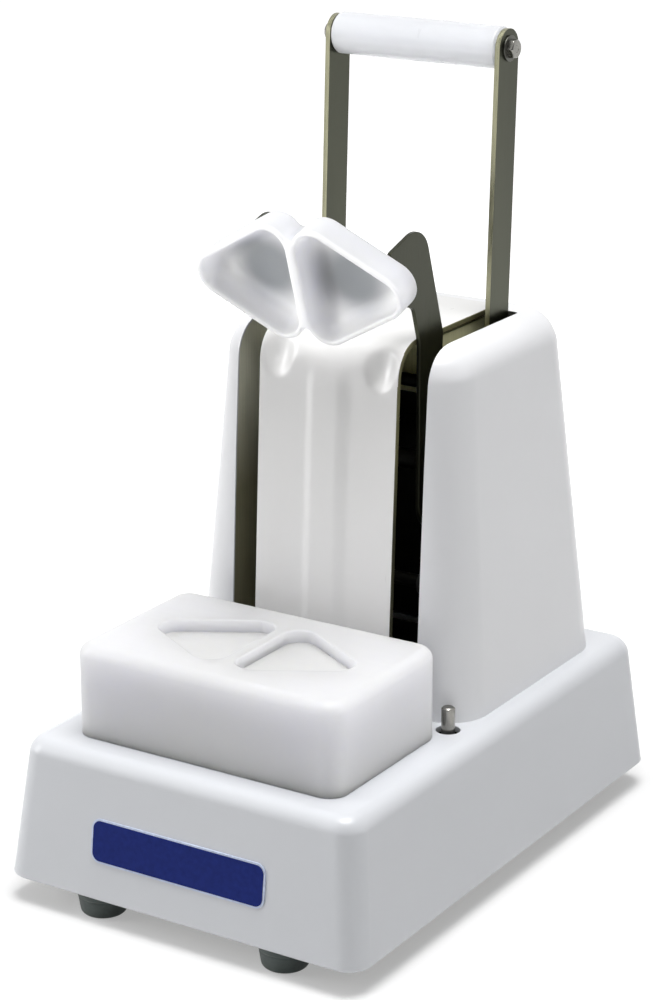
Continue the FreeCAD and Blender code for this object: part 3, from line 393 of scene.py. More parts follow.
class Tree:
    """Short way to build a node tree."""

    def __init__(self, tree):
        self.tree = tree

    def feed(self, socket, value):
        """Link an output to an input, or set the input's constant."""
        if isinstance(value, bpy.types.NodeSocket):
            self.tree.links.new(value, socket)
        elif value is not None:
            socket.default_value = (*value, 1) if socket.type == "RGBA" else value

    def fill(self, node, **inputs):
        """Feed a node's inputs by name, with _ for a space."""
        for key, value in inputs.items():
            self.feed(node.inputs[key.replace("_", " ")], value)

    def add(self, kind, **values):
        """New node. Names in lower case are its settings, and names with a capital its inputs."""
        node = self.tree.nodes.new(kind)
        given(node, **{key: value for key, value in values.items() if key[0].islower()})
        self.fill(node, **{key: value for key, value in values.items() if key[0].isupper()})
        return node

    def number(self, operation, *values, kind="ShaderNodeMath"):
        """Result of a calculation."""
        node = self.add(kind, operation=operation)
        for socket, value in zip(node.inputs, values):
            self.feed(socket, value)
        return node.outputs["Value"]

    def rays(self, *kinds):
        """1 for rays of the named kinds, and 0 for the others."""
        path = self.add("ShaderNodeLightPath")
        first, *others = [path.outputs["Is %s Ray" % kind] for kind in kinds]
        for other in others:
            first = self.number("MAXIMUM", first, other)
        return first

    def spread(self, value, low, high, source=(0.3, 0.7), **settings):
        """Map a value, by default a noise, to a range."""
        return self.add("ShaderNodeMapRange", Value=value, From_Min=source[0], From_Max=source[1],
                        To_Min=low, To_Max=high, **settings).outputs["Result"]

    def mix(self, value, first, second):
        """Mix two colours by a value."""
        node = self.add("ShaderNodeMix", data_type="RGBA", Factor=value)
        for socket, colour in zip([i for i in node.inputs if i.type == "RGBA"], (first, second)):
            self.feed(socket, colour)
        return next(o for o in node.outputs if o.type == "RGBA")

    def toned(self, value, colour, dark, light):
        """Mix two shades of a colour by a value."""
        return self.mix(value, shade(colour, dark), shade(colour, light))


class Finish(Tree):
    """Tree of one material, with its shader."""

    def __init__(self, name):
        self.material = bpy.data.materials.new(name)
        self.material.use_nodes = True
        super().__init__(self.material.node_tree)
        self.tree.nodes.clear()
        self.shader = self.add("ShaderNodeBsdfPrincipled")
        self.output = self.add("ShaderNodeOutputMaterial", Surface=self.shader.outputs["BSDF"])
        self.coordinates = self.add("ShaderNodeTexCoord").outputs["Object"]

    def noise(self, scale, detail=3.0, roughness=0.5, stretch=None):
        """Noise on the object's coordinates, which stretch scales along each axis."""
        places = self.coordinates
        if stretch:
            mapping = self.add("ShaderNodeMapping", Vector=places, Scale=stretch)
            places = mapping.outputs["Vector"]
        return self.add("ShaderNodeTexNoise", Vector=places, Scale=scale, Detail=detail,
                        Roughness=roughness).outputs["Fac"]

    def rise(self, low, high):
        """0 below one height and 1 above another, in metres."""
        height = self.add("ShaderNodeSeparateXYZ", Vector=self.coordinates).outputs["Z"]
        return self.spread(height, 0.0, 1.0, (low, high))

    def bump(self, height, strength, distance, previous=None):
        """Normals of a small relief, on top of a previous one."""
        return self.add("ShaderNodeBump", Height=height, Strength=strength, Distance=distance,
                        Normal=previous).outputs["Normal"]

    def surface(self, **inputs):
        """Feed the shader's inputs, and give the material."""
        self.fill(self.shader, **inputs)
        return self.material


def shade(colour, factor):
    """A colour made lighter or darker."""
    return tuple(min(1.0, c * factor) for c in colour)


def moulded_plastic(name, colour, roughness, coat=0.25, scatter=0.0, top_shade=None):
    """Moulded plastic with faint mottling, wipe marks and a fine grain.

    The last argument gives two heights, over which painted shade greys the top, and the share of
    colour left.
    """
    nodes = Finish(name)
    mottle = nodes.spread(nodes.noise(9.0, 4.0, 0.55), 0, 1)
    tone = nodes.toned(mottle, colour, 0.988, 1.008)
    # painted shade: above the first height the colour is greyed, to darken the top
    if top_shade is not None:
        low, high, left = top_shade
        shaded_top = nodes.toned(mottle, colour, left - 0.02, left + 0.02)
        tone = nodes.mix(nodes.rise(low, high), tone, shaded_top)
    wiped = nodes.noise(60.0, 5.0, 0.6, (1.0, 0.35, 0.2))
    wave = nodes.bump(nodes.noise(28.0, 1.0), 0.05, 0.002)
    return nodes.surface(
        Base_Color=tone, Roughness=nodes.spread(wiped, roughness - 0.04, roughness + 0.06),
        Normal=nodes.bump(nodes.noise(1200.0, 2.0), 0.006, 0.0003, wave),
        IOR=1.5, Coat_Weight=coat, Coat_Roughness=0.22,
        Subsurface_Weight=scatter, Subsurface_Radius=(1.0, 0.97, 1.0), Subsurface_Scale=0.012)


def milky_plastic(name, colour, depth, passing, hollow=None):
    """Machined polyethylene, milky to a depth in metres.

    passing is the share of light that goes through; hollow is painted shade in the cups and on the
    flanks.
    """
    nodes = Finish(name)
    body = nodes.toned(nodes.spread(nodes.noise(14.0), 0, 1), colour, 0.97, 1.015)
    # painted shade: an attribute mixes the hollow colour in
    if hollow is not None:
        painted = nodes.add("ShaderNodeAttribute", attribute_name="hollow").outputs["Fac"]
        body = nodes.mix(painted, body, hollow)
    tooling = nodes.noise(240.0, 2.0, 0.5, (0.05, 1.0, 1.0))
    soft = nodes.bump(nodes.noise(45.0, 1.0), 0.05, 0.0015)
    return nodes.surface(
        Base_Color=body, Roughness=nodes.spread(tooling, 0.36, 0.46),
        Normal=nodes.bump(tooling, 0.06, 0.0002, soft),
        IOR=1.52, Specular_IOR_Level=0.4, Transmission_Weight=passing,
        Subsurface_Weight=1.0, Subsurface_Radius=(1.0, 1.0, 1.1), Subsurface_Scale=depth)


def brushed_steel(name, colour, along, roughness=0.34, streak=0.14):
    """Brushed stainless: fine streaks along one axis, with slow cloudy tone changes."""
    nodes = Finish(name)

    def drawn_out(share):
        return tuple(share if axis == along else 1.0 for axis in range(3))

    lines = nodes.noise(1500.0, 4.0, 0.65, drawn_out(0.012))
    slow = nodes.spread(nodes.noise(16.0, 2.0, 0.5, drawn_out(0.3)), 0.0, 0.4)
    blend = nodes.spread(nodes.number("MULTIPLY_ADD", lines, 0.6, slow), 0, 1, (0.3, 0.8))
    return nodes.surface(
        Base_Color=nodes.toned(blend, colour, 1 - streak, 1 + streak),
        Roughness=nodes.spread(lines, roughness - 0.07, roughness + 0.09),
        Normal=nodes.bump(lines, 0.12, 0.00008), Metallic=1.0, Anisotropic=0.4)


def frame_steel(name, colour, highlight_colour):
    """Dull upright-brushed plate of the inner frame, with a painted highlight: a second colour
    towards the top.
    """
    nodes = Finish(name)
    lines = nodes.noise(1300.0, 4.0, 0.6, (1.0, 1.0, 0.01))
    cloud = nodes.noise(12.0, 2.0, 0.5, (1.0, 1.0, 0.4))
    streaks = nodes.spread(lines, 0, 1, (0.3, 0.8))
    low_tone = nodes.toned(streaks, colour, 0.8, 1.2)
    highlight_tone = nodes.toned(streaks, highlight_colour, 0.85, 1.05)
    # painted highlight: the second tone takes over above 212 mm
    return nodes.surface(
        Base_Color=nodes.mix(nodes.rise(0.212, 0.262), low_tone, highlight_tone),
        Roughness=nodes.spread(cloud, 0.4, 0.6), Normal=nodes.bump(lines, 0.1, 0.00008),
        Metallic=0.2)


def turned_steel(name, colour, roughness=0.2):
    """Turned or ground bright steel with faint marks."""
    nodes = Finish(name)
    marks = nodes.noise(700.0, 3.0, 0.6, (1.0, 1.0, 0.15))
    return nodes.surface(
        Base_Color=nodes.toned(nodes.spread(nodes.noise(120.0), 0, 1), colour, 0.85, 1.1),
        Roughness=nodes.spread(marks, roughness - 0.05, roughness + 0.1),
        Normal=nodes.bump(marks, 0.1, 0.00006), Metallic=1.0)


def rubber(name, colour):
    """Matt rubber with a dusty bloom."""
    nodes = Finish(name)
    dust = nodes.noise(110.0, 5.0, 0.65)
    return nodes.surface(
        Base_Color=nodes.toned(nodes.spread(dust, 0, 1, (0.35, 0.8)), colour, 0.85, 1.5),
        Roughness=nodes.spread(dust, 0.5, 0.72),
        Normal=nodes.bump(nodes.noise(900.0), 0.15, 0.0002), IOR=1.48, Sheen_Weight=0.1)


def enamel(name, colour, gloss):
    """Lacquered plate."""
    nodes = Finish(name)
    specks = nodes.noise(300.0)
    return nodes.surface(
        Base_Color=nodes.toned(nodes.spread(specks, 0, 1), colour, 0.9, 1.12),
        Roughness=nodes.spread(nodes.noise(40.0), 0.35, 0.47),
        Normal=nodes.bump(specks, 0.03, 0.0001), IOR=1.45, Specular_IOR_Level=gloss)


def floor_finish():
    """Pale floor that reads as white to the camera away from the shadow."""
    nodes = Finish("pale floor")
    nodes.surface(Base_Color=(0.62, 0.62, 0.62), Roughness=0.85, Specular_IOR_Level=0.1)
    distance = nodes.number("LENGTH", nodes.coordinates, kind="ShaderNodeVectorMath")
    far = nodes.spread(distance, 0.36, 0.9, (0.2, 0.9))
    glow = nodes.add("ShaderNodeEmission",
                     Strength=nodes.number("MULTIPLY", far, nodes.rays("Camera", "Glossy")))
    total = nodes.add("ShaderNodeAddShader")
    for socket, part in zip(total.inputs, (nodes.shader, glow)):
        nodes.feed(socket, part.outputs[0])
    nodes.fill(nodes.output, Surface=total.outputs["Shader"])
    return nodes.material


finishes = {}


def make_finishes(colours):
    """Every finish, once, by name."""
    upright, sideways = 2, 0
    steel = colours.steel
    finishes.update({
        "housing": moulded_plastic("housing white", colours.housing, 0.38),
        "tower": moulded_plastic("tower white", colours.tower, 0.32, coat=0.3),
        # painted shade greys the centre cover's top
        "centre": moulded_plastic("centre white", colours.centre, 0.3, coat=0.35,
                                  top_shade=(0.306, 0.316, 0.86)),
        # painted shade: the covers' inner faces are near black
        "painted_inside_shade": moulded_plastic("painted_inside_shade", (0.06, 0.06, 0.05), 0.6, coat=0.0),
        # the last colour is painted shade, in the cups and on the front flanks
        "mold": milky_plastic("mold milky", colours.mold, 0.02, 0.14, (0.31, 0.325, 0.345)),
        "block": milky_plastic("block milky", shade(colours.mold, 0.86), 0.05, 0.05),
        # painted shade greys the grip's top
        "grip": moulded_plastic("grip white", colours.grip, 0.3, coat=0.3, scatter=0.7,
                                top_shade=(0.468, 0.481, 0.62)),
        "nylon": moulded_plastic("washer nylon", (0.7, 0.68, 0.6), 0.5),
        "strip": brushed_steel("strip steel", steel, upright),
        # a darker copy of the strip steel: painted shade on the mold arms
        "mold_strip_shaded": brushed_steel("mold_strip_shaded steel", shade(steel, 0.76), upright),
        # painted highlight: the cut edges are lighter than the faces
        "strip_edge_highlight": brushed_steel("strip_cut_edge_highlight", (0.3, 0.295, 0.2), upright, 0.3, 0.2),
        "carrier": brushed_steel("carrier steel", steel, sideways),
        "inner": brushed_steel("inner steel", shade(steel, 0.9), upright, 0.42),
        "fitting": turned_steel("fitting steel", (0.27, 0.265, 0.245)),
        "dark fitting": turned_steel("dark fitting steel", (0.11, 0.11, 0.097), 0.3),
        "spring": turned_steel("spring wire", (0.03, 0.03, 0.028), 0.4),
        # near black: painted shade on the inner parts seen in the slots
        "slot_shade_black": turned_steel("blackened steel", (0.02, 0.02, 0.018), 0.5),
        "bronze": turned_steel("sintered bronze", (0.5, 0.33, 0.13), 0.4),
        # the second colour of the frame and slot edge is a painted highlight towards the top
        "frame": frame_steel("frame steel", (0.42, 0.4, 0.25), (0.95, 0.94, 0.76)),
        "slot edge": frame_steel("slot edge steel", (0.07, 0.068, 0.04), (0.24, 0.23, 0.12)),
        # painted light: the bridge is pale though it lies in the slots' shade
        "bridge": frame_steel("painted_lit_bridge_steel", (0.95, 0.93, 0.62), (0.95, 0.93, 0.62)),
        "rubber": rubber("foot rubber", colours.rubber),
        "sleeve": rubber("sleeve rubber", (0.02, 0.02, 0.02)),
        "badge rim": enamel("badge rim", (0.62, 0.69, 0.86), 0.4),
        "badge field": enamel("badge field", colours.badge, 0.08),
        "floor": floor_finish(),
    })


# ---- shared places, in millimetres

housing_z = node_box("base_housing")[0].z
tower_top = node_box("tower_cover")[1].z
block_low, block_high = node_box("lower_mold_block")
deck_z = block_low.z

BASE_LOW = (-120.0, 120.0, -174.0, 174.0)
BASE_HIGH = (-111.0, 111.0, -164.0, 166.0)
BASE_CORNER, BASE_WALL, BASE_FOOT_ROUND = 14.0, 4.0, 2.5
TOWER_OPENING = (-82.6, 82.6, -20.5, 120.0)
# (x, y, radius, steps round)
PIN_HOLE = (88.6, -26.0, 7.0, 40)
PEG_HOLE = (74.0, -56.0, 4.3, 32)

# (radius, height, the corner's radius)
FOOT_OUTLINE = ((2.6, 14.9), (15.4, 14.9, 0.8), (15.2, 11.6, 0.8), (14.4, 11.0, 0.6),
                (14.6, 9.6, 0.6), (13.1, 0.0, 3.2), (5.6, 0.0, 0.8), (5.5, 5.0, 0.3), (2.6, 5.0))

BLOCK_CORNER, BLOCK_EDGE_ROUND = 12.0, 7.0

TOWER_LOW = (-97.0, 97.0, -21.5, 147.0)
TOWER_HIGH = (-80.0, 80.0, -10.0, 127.0)
TOWER_CORNER, TOWER_WALL = 25.0, 3.5
SLOT_INNER, SLOT_OUTER, SLOT_REAR = 46.6, 63.9, 93.5
MIDDLE_OUTER, MIDDLE_REAR = 47.0, 101.4
SEAT_DEPTH, SEAT_OUTER, SEAT_REAR = 1.2, 67.9, 112.3
CUT_FRONT, CUT_TOP = -60, 340
COVER_MIDDLE = Vector((0.0, 60.0, 190.0))
# (x, height over the deck) of the screws on the cover's back
COVER_HEIGHT, COVER_SCREWS = 216.0, ((55.0, 24.0), (48.0, 150.0))

CENTRE_TOP, CENTRE_REAR = 316.2, 101.0
CENTRE_FRONT_LOW, CENTRE_FRONT_HIGH = 24.1, 12.6
SHEET_SPACING = 1.3
RIB_LEFT, RIB_LEFT_BLEND, RIB_RIGHT, RIB_RIGHT_BLEND = 15.0, 7.0, 17.0, 11.0
RIB_RISE, RIB_END, RIB_FADE, RIB_LEAST = 190.0, 300.0, 16.0, 0.35
SCOOP_RADII = (11.5, 11.0, 27.0)
SCOOP_MIDDLE = (34.5, -16.1, 315.0)
SCOOP_DEPTH = 14.0

CUP_SPACING, CUP_CORNER, CUP_WEB = 44.0, 11.3, 7.4
CUP_CIRCLE = CUP_SPACING / math.sqrt(3)
CUP_X = CUP_WEB / 2 + CUP_CORNER + CUP_CIRCLE / 2
CUP_Y = (block_low.y + block_high.y) / 2
MOLD_WALL, MOLD_FLOOR_ROUND = 3.0, 11.0
MOUTH_Z = block_high.z + 1.5
MOLD_FLOOR_Z, MOLD_BACK_Z = MOUTH_Z + 16.5, MOUTH_Z + 20.0
CARRIER_THICKNESS = 3.0

# (radius, distance from the grip's middle, the corner's radius where it is rounded)
WASHER_OUTLINE = ((4.2, 58.2), (7.5, 58.2, 0.2), (7.5, 59.4, 0.35), (4.2, 59.4))
BOLT_OUTLINE = ((0.0, 27.2), (4.0, 27.2), (4.0, 59.4), (99.0, 59.4), (99.0, 62.28), (5.3, 62.84),
                (4.65, 63.4), (2.25, 63.4), (1.8, 63.05), (0.0, 63.05))

PIVOT = Vector((0.0, 67.0, 223.0))
CLOSING = math.radians(72)
BOTH = ((-1, "left"), (1, "right"))


def cup_ring(side, corner, z, steps=14):
    """Rounded triangle of points round a cup's centre, pointing away from the middle."""
    points = []
    for tip in range(3):
        middle = math.radians(120 * tip)
        centre = (CUP_CIRCLE * math.cos(middle), CUP_CIRCLE * math.sin(middle))
        for step in range(steps + 1):
            angle = middle + math.radians(-60 + 120 * step / steps)
            points.append((side * (CUP_X + centre[0] + corner * math.cos(angle)),
                           CUP_Y + centre[1] + corner * math.sin(angle), z))
    return points


def cup_roll(side, corner, top, radius, steps):
    """Rings of a cup's wall that rolls into its flat end."""
    return [cup_ring(side, corner - radius * (1 - cosine), top - radius + radius * sine)
            for cosine, sine in quarter(steps)]


def swing_open():
    """Matrix that takes the closed lever's pieces to the open pose."""
    pivot = PIVOT * MM
    there, back = Matrix.Translation(-pivot), Matrix.Translation(pivot)
    return back @ Matrix.Rotation(-CLOSING, 4, "X") @ there


# ---- studio

# (name, place, size, power), in metres and watts
LAMPS = (
    ("top softbox", (0.25, -0.15, 2.3), 1.3, 55.0),
    ("left softbox", (-2.3, -1.3, 1.0), 1.4, 29.5),
    ("right softbox", (2.2, 0.9, 1.1), 1.4, 2.6),
)
# each card lights one piece only
CARDS = (
    ("mold card", (-1.2, -2.0, 0.2), 0.8, 54.0),
    ("block card", (2.2, 0.2, 0.2), 0.8, 14.0),
    ("grip card", (0.4, -2.2, 0.5), 0.8, 8.5),
)
LAMP_TARGET = Vector((0.0, 0.0, 0.22))
FLOOR_REACH = 9000
FILL_LIGHT = 0.16
DIM_SIDE = (0.538, -0.843, 0.0)
DIM_LIGHT, DIM_CONE = 0.1, (0.45, 0.95)
CAMERA_LENS, CAMERA_DISTANCE = 100.88, 1636.5
CAMERA_TURN, CAMERA_LIFT, CAMERA_ROLL = 32.56, 18.32, -0.18
CAMERA_TARGET = Vector((-9.85, 0.0, 212.5))


# ---- operators


class PressOperator(bpy.types.Operator):
    """What the press's operators share."""

    bl_options = {"REGISTER", "UNDO"}


class PRESS_OT_stage(PressOperator):
    """Floor, lamps, world and camera."""

    bl_idname = "press.stage"
    bl_label = "Studio"

    def execute(self, context):
        scene = context.scene
        make_finishes(scene.press_colours)
        reach = FLOOR_REACH
        corners = [(-reach, -reach, 0), (reach, -reach, 0), (reach, reach, 0), (-reach, reach, 0)]
        floor = new_object(mesh_from("floor", corners, [(0, 1, 2, 3)]))
        floor.data.materials.append(finishes["floor"])
        for lamp in LAMPS:
            self.lamp(*lamp)
        for card in CARDS:
            self.lamp(*card).light_linking.receiver_collection = bpy.data.collections.new(card[0])
        self.world(scene)
        self.camera(scene)
        scene.view_settings.view_transform = "Standard"
        return {"FINISHED"}

    def lamp(self, name, where, size, power):
        """Square softbox that faces the middle of the press."""
        data = given(bpy.data.lights.new(name, "AREA"), shape="SQUARE", size=size, energy=power)
        aim = (LAMP_TARGET - Vector(where)).to_track_quat("-Z", "Y").to_euler()
        light = given(bpy.data.objects.new(name, data), location=where, rotation_euler=aim)
        bpy.context.scene.collection.objects.link(light)
        return light

    def world(self, scene):
        """White to the camera and to reflections, softer as a light, and dim on one side."""
        world = bpy.data.worlds.new("studio")
        world.use_nodes = True
        tree = Tree(world.node_tree)
        white = tree.rays("Camera", "Glossy", "Transmission")
        level = tree.spread(white, FILL_LIGHT, 1.0, (0.0, 1.0))
        direction = tree.add("ShaderNodeTexCoord").outputs["Generated"]
        towards = tree.number("DOT_PRODUCT", direction, DIM_SIDE, kind="ShaderNodeVectorMath")
        dim = tree.spread(towards, 1.0, DIM_LIGHT, DIM_CONE, interpolation_type="SMOOTHSTEP")
        shown = tree.number("MAXIMUM", dim, tree.rays("Camera"))
        tree.fill(tree.tree.nodes["Background"], Color=(1, 1, 1),
                  Strength=tree.number("MULTIPLY", level, shown))
        scene.world = world

    def camera(self, scene):
        """Long lens from the front right, a little above the press."""
        data = given(bpy.data.cameras.new("camera"), sensor_width=36.0, lens=CAMERA_LENS)
        turn, lift = math.radians(CAMERA_TURN), math.radians(CAMERA_LIFT)
        back = Vector((math.sin(turn) * math.cos(lift), -math.cos(turn) * math.cos(lift),
                       math.sin(lift)))
        roll = Matrix.Rotation(math.radians(CAMERA_ROLL), 3, "Z")
        aim = (-back).to_track_quat("-Z", "Y").to_matrix() @ roll
        where = CAMERA_TARGET * MM + back * CAMERA_DISTANCE * MM
        camera = given(bpy.data.objects.new("camera", data), location=where,
                       rotation_euler=aim.to_euler())
        scene.collection.objects.link(camera)
        scene.camera = camera


class PRESS_OT_housing(PressOperator):
    """Base housing with its rounded deck edge, tower opening and pin hole."""

    bl_idname = "press.housing"
    bl_label = "Base housing"

    def execute(self, context):
        edge_round = context.scene.press_sizes.deck_edge_round / MM
        piece = new_object(drafted_box("housing_shell", BASE_LOW, BASE_HIGH, housing_z, deck_z,
                                       BASE_CORNER, edge_round, foot_round=BASE_FOOT_ROUND))
        inside = drafted_box("inside", BASE_LOW, BASE_HIGH, housing_z - 1, deck_z, BASE_CORNER,
                             edge_round, BASE_WALL)
        opening = bar("tower opening", *TOWER_OPENING, deck_z - 20, deck_z + 20, 6.0)
        combine(piece, [inside, self.hole(*PIN_HOLE), self.hole(*PEG_HOLE), opening])
        soften(piece, 0.7, 50)
        dress(piece, "housing", "base", "housing_white", "base_housing")
        return {"FINISHED"}

    def hole(self, x, y, radius, steps):
        """Cutter for a round hole in the deck."""
        mesh = lathe("hole", [(0, -8), (radius, -8), (radius, 8), (0, 8)], steps)
        mesh.transform(Matrix.Translation(Vector((x, y, deck_z)) * MM))
        return mesh


class PRESS_OT_feet(PressOperator):
    """Four rubber feet with a rolled tread edge and a screw well."""

    bl_idname = "press.feet"
    bl_label = "Rubber feet"

    def execute(self, context):
        profile = soft_profile(FOOT_OUTLINE)
        for node in ("foot_front_left", "foot_front_right", "foot_rear_left", "foot_rear_right"):
            piece = new_object(lathe("rubber_" + node, profile + profile[:1]))
            smooth(piece, 50)
            place(piece, upright_at(node))
            dress(piece, "rubber", "base", "foot_rubber", node)
        return {"FINISHED"}


class PRESS_OT_badge(PressOperator):
    """Blank badge: a pale rim round a raised navy field."""

    bl_idname = "press.badge"
    bl_label = "Badge"

    def execute(self, context):
        for node, name, slot in (("badge_rim", "badge_border", "badge_rim_pale"),
                                 ("badge_field", "badge_plate", "badge_navy")):
            piece = copy_of(node, name)
            soften(piece, 0.12, 50, 2)
            dress(piece, node.replace("_", " "), "base", slot, node)
        return {"FINISHED"}


class PRESS_OT_mold_block(PressOperator):
    """Milky lower mold block with two triangular cups."""

    bl_idname = "press.mold_block"
    bl_label = "Lower mold block"

    def execute(self, context):
        sides = (block_low.x, block_high.x, block_low.y, block_high.y)
        piece = new_object(drafted_box("mold_block", sides, sides, deck_z, block_high.z,
                                       BLOCK_CORNER, BLOCK_EDGE_ROUND))
        combine(piece, [loft("cup", [cup_ring(side, CUP_CORNER, z)
                                     for z in (deck_z - 5, block_high.z + 5)]) for side, _ in BOTH])
        soften(piece, context.scene.press_sizes.rim_round / MM, 60, 4)
        dress(piece, "block", "base", "mold_white", "lower_mold_block")
        light_with("block card", piece)
        return {"FINISHED"}


def looks_in(face):
    """Whether a face looks into a cover and isn't a cut edge of its slots."""
    outwards = face.center - COVER_MIDDLE * MM
    outwards.z *= 0.8
    cut_edge = abs(abs(face.center.x) / MM - SLOT_OUTER) < 0.6 and abs(face.normal.x) > 0.3
    return face.normal.dot(outwards) < -0.25 * outwards.length and not cut_edge


class PRESS_OT_tower(PressOperator):
    """Outer tower cover: two sides and the back, open in the middle."""

    bl_idname = "press.tower"
    bl_label = "Tower cover"

    def execute(self, context):
        edge_round = context.scene.press_sizes.tower_edge_round / MM
        piece = new_object(self.form("tower_shell", edge_round, 0.0))
        seats = []
        for side, _ in BOTH:
            seat = new_object(self.form("seat", edge_round, SEAT_DEPTH))
            edges = sorted((side * (SLOT_OUTER - 1), side * SEAT_OUTER))
            band = bar("band", *edges, CUT_FRONT, SEAT_REAR, deck_z - 5, CUT_TOP, 0.2)
            combine(seat, [band], "INTERSECT")
            seats.append(seat.data)
            bpy.data.objects.remove(seat)
        cuts = [bar("cut", -half, half, CUT_FRONT, rear, deck_z - 5 + up, CUT_TOP + up, 0.5)
                for half, rear, up in ((SLOT_OUTER, SLOT_REAR, 0), (MIDDLE_OUTER, MIDDLE_REAR, 1))]
        combine(piece, [self.form("inside", edge_round, TOWER_WALL, 2), *seats, *cuts])
        soften(piece, 0.5, 50)
        dress(piece, "tower", "base", "cover_white", "tower_cover")
        # painted shade: faces that look into the cover are near black
        repaint(piece, "painted_inside_shade", looks_in)
        return {"FINISHED"}

    def form(self, name, edge_round, inset, below=0.0):
        """The tower's outer form, pulled in, from the deck or below it."""
        return drafted_box(name, TOWER_LOW, TOWER_HIGH, deck_z - below, tower_top, TOWER_CORNER,
                           edge_round, inset)


def eased(share):
    """A share from 0 to 1 that starts and ends softly."""
    return share * share * (3 - 2 * share)


def blurred(values, radius):
    """Soft blur of a grid."""
    if radius <= 0:
        return values
    reach = int(3 * radius) + 1
    weights = np.exp(-0.5 * (np.arange(-reach, reach + 1) / radius) ** 2)
    weights /= weights.sum()
    for axis in (0, 1):
        border = [(reach, reach) if a == axis else (0, 0) for a in (0, 1)]
        padded = np.pad(values, border, mode="edge")
        values = np.apply_along_axis(lambda line: np.convolve(line, weights, "valid"), axis, padded)
    return values


class PRESS_OT_centre_cover(PressOperator):
    """Proud centre cover with its rib and the two scoops under the upper mold."""

    bl_idname = "press.centre_cover"
    bl_label = "Centre cover"

    def execute(self, context):
        sizes = context.scene.press_sizes
        rolled = side_profile(CENTRE_FRONT_LOW, CENTRE_FRONT_HIGH, deck_z, CENTRE_TOP,
                              sizes.tower_edge_round / MM, 24)
        path = [(-CENTRE_FRONT_LOW, deck_z), *((-reach, z) for reach, z in rolled),
                (CENTRE_REAR, CENTRE_TOP)]
        ys, zs = self.resample([Vector(point) for point in path])
        xs = np.linspace(-SLOT_INNER, SLOT_INNER, int(2 * SLOT_INNER / SHEET_SPACING) + 1)
        slope_y, slope_z = np.gradient(ys), np.gradient(zs)
        length = np.hypot(slope_y, slope_z)
        x, y = np.meshgrid(xs, ys, indexing="ij")
        z, ny, nz = (np.broadcast_to(row, x.shape)
                     for row in (zs, -slope_z / length, slope_y / length))
        lift = self.rib(x, y, z, sizes.rib_height / MM)
        lift = lift - self.scoops(x, y, z, ny, nz, sizes.scoop_softness / MM)
        outer, inner = (np.stack([x, y + ny * out, z + nz * out], -1)
                        for out in (lift, lift - TOWER_WALL))
        piece = new_object(self.shell(outer, inner))
        soften(piece, 0.6, 60)
        dress(piece, "centre", "base", "cover_white", "centre_cover")
        # painted shade: faces that look into the cover are near black
        repaint(piece, "painted_inside_shade", looks_in)
        # the cut edges along the slots take dark steel, with a painted highlight towards the top
        repaint(piece, "slot edge", lambda face: abs(face.center.x) / MM > SLOT_INNER - 0.7
                and abs(face.normal.x) > 0.7)
        return {"FINISHED"}

    def resample(self, path):
        """Even steps along a broken line."""
        steps = [0.0]
        for a, b in zip(path, path[1:]):
            steps.append(steps[-1] + (b - a).length)
        places = np.linspace(0, steps[-1], int(steps[-1] / SHEET_SPACING) + 1)
        return [np.interp(places, steps, [point[axis] for point in path]) for axis in (0, 1)]

    def rib(self, x, y, z, height):
        """Low band up the middle of the front, stronger towards the top."""
        left, right = (RIB_LEFT + x) / RIB_LEFT_BLEND, (RIB_RIGHT - x) / RIB_RIGHT_BLEND
        across = eased(np.clip(np.where(x < 0, left, right), 0, 1))
        rise = np.clip((z - deck_z) / RIB_RISE, 0, 1)
        fade = np.clip((RIB_END - z) / RIB_FADE, 0, 1)
        return height * across * (RIB_LEAST + (1 - RIB_LEAST) * rise) * fade * (y < 20)

    def scoops(self, x, y, z, ny, nz, softness):
        """How far each point is pressed in along its normal by two egg-shaped hollows."""
        rx, ry, rz = SCOOP_RADII
        mx, my, mz = SCOOP_MIDDLE
        depth = np.zeros_like(x)
        dy, dz = -ny / ry, -nz / rz
        a = dy * dy + dz * dz
        for side, _ in BOTH:
            px, py, pz = (x - side * mx) / rx, (y - my) / ry, (z - mz) / rz
            b = py * dy + pz * dz
            c = px * px + py * py + pz * pz - 1
            root = b * b - a * c
            inside = (c < 0) & (root > 0)
            push = np.where(inside, (-b + np.sqrt(np.maximum(root, 0))) / a, 0)
            depth = np.maximum(depth, push)
        return blurred(np.minimum(depth, SCOOP_DEPTH), softness / SHEET_SPACING)

    def shell(self, outer, inner):
        """Closed sheet between two grids."""
        index = np.arange(outer[..., 0].size).reshape(outer.shape[:2])
        outside = np.stack([index[:-1, :-1], index[1:, :-1], index[1:, 1:], index[:-1, 1:]], -1)
        outside = outside.reshape(-1, 4)
        inside = outside[:, [0, 3, 2, 1]] + index.size
        faces = np.stack([outside, inside], 1).reshape(-1, 4).tolist()
        rim = [*index[:, 0], *index[-1, 1:], *index[-2::-1, -1], *index[0, -2:0:-1]]
        for a, b in zip(rim, rim[1:] + rim[:1]):
            faces.append([int(i) for i in (a, a + index.size, b + index.size, b)])
        points = np.concatenate([outer.reshape(-1, 3), inner.reshape(-1, 3)])
        return outward(mesh_from("centre_shell", points.tolist(), faces))


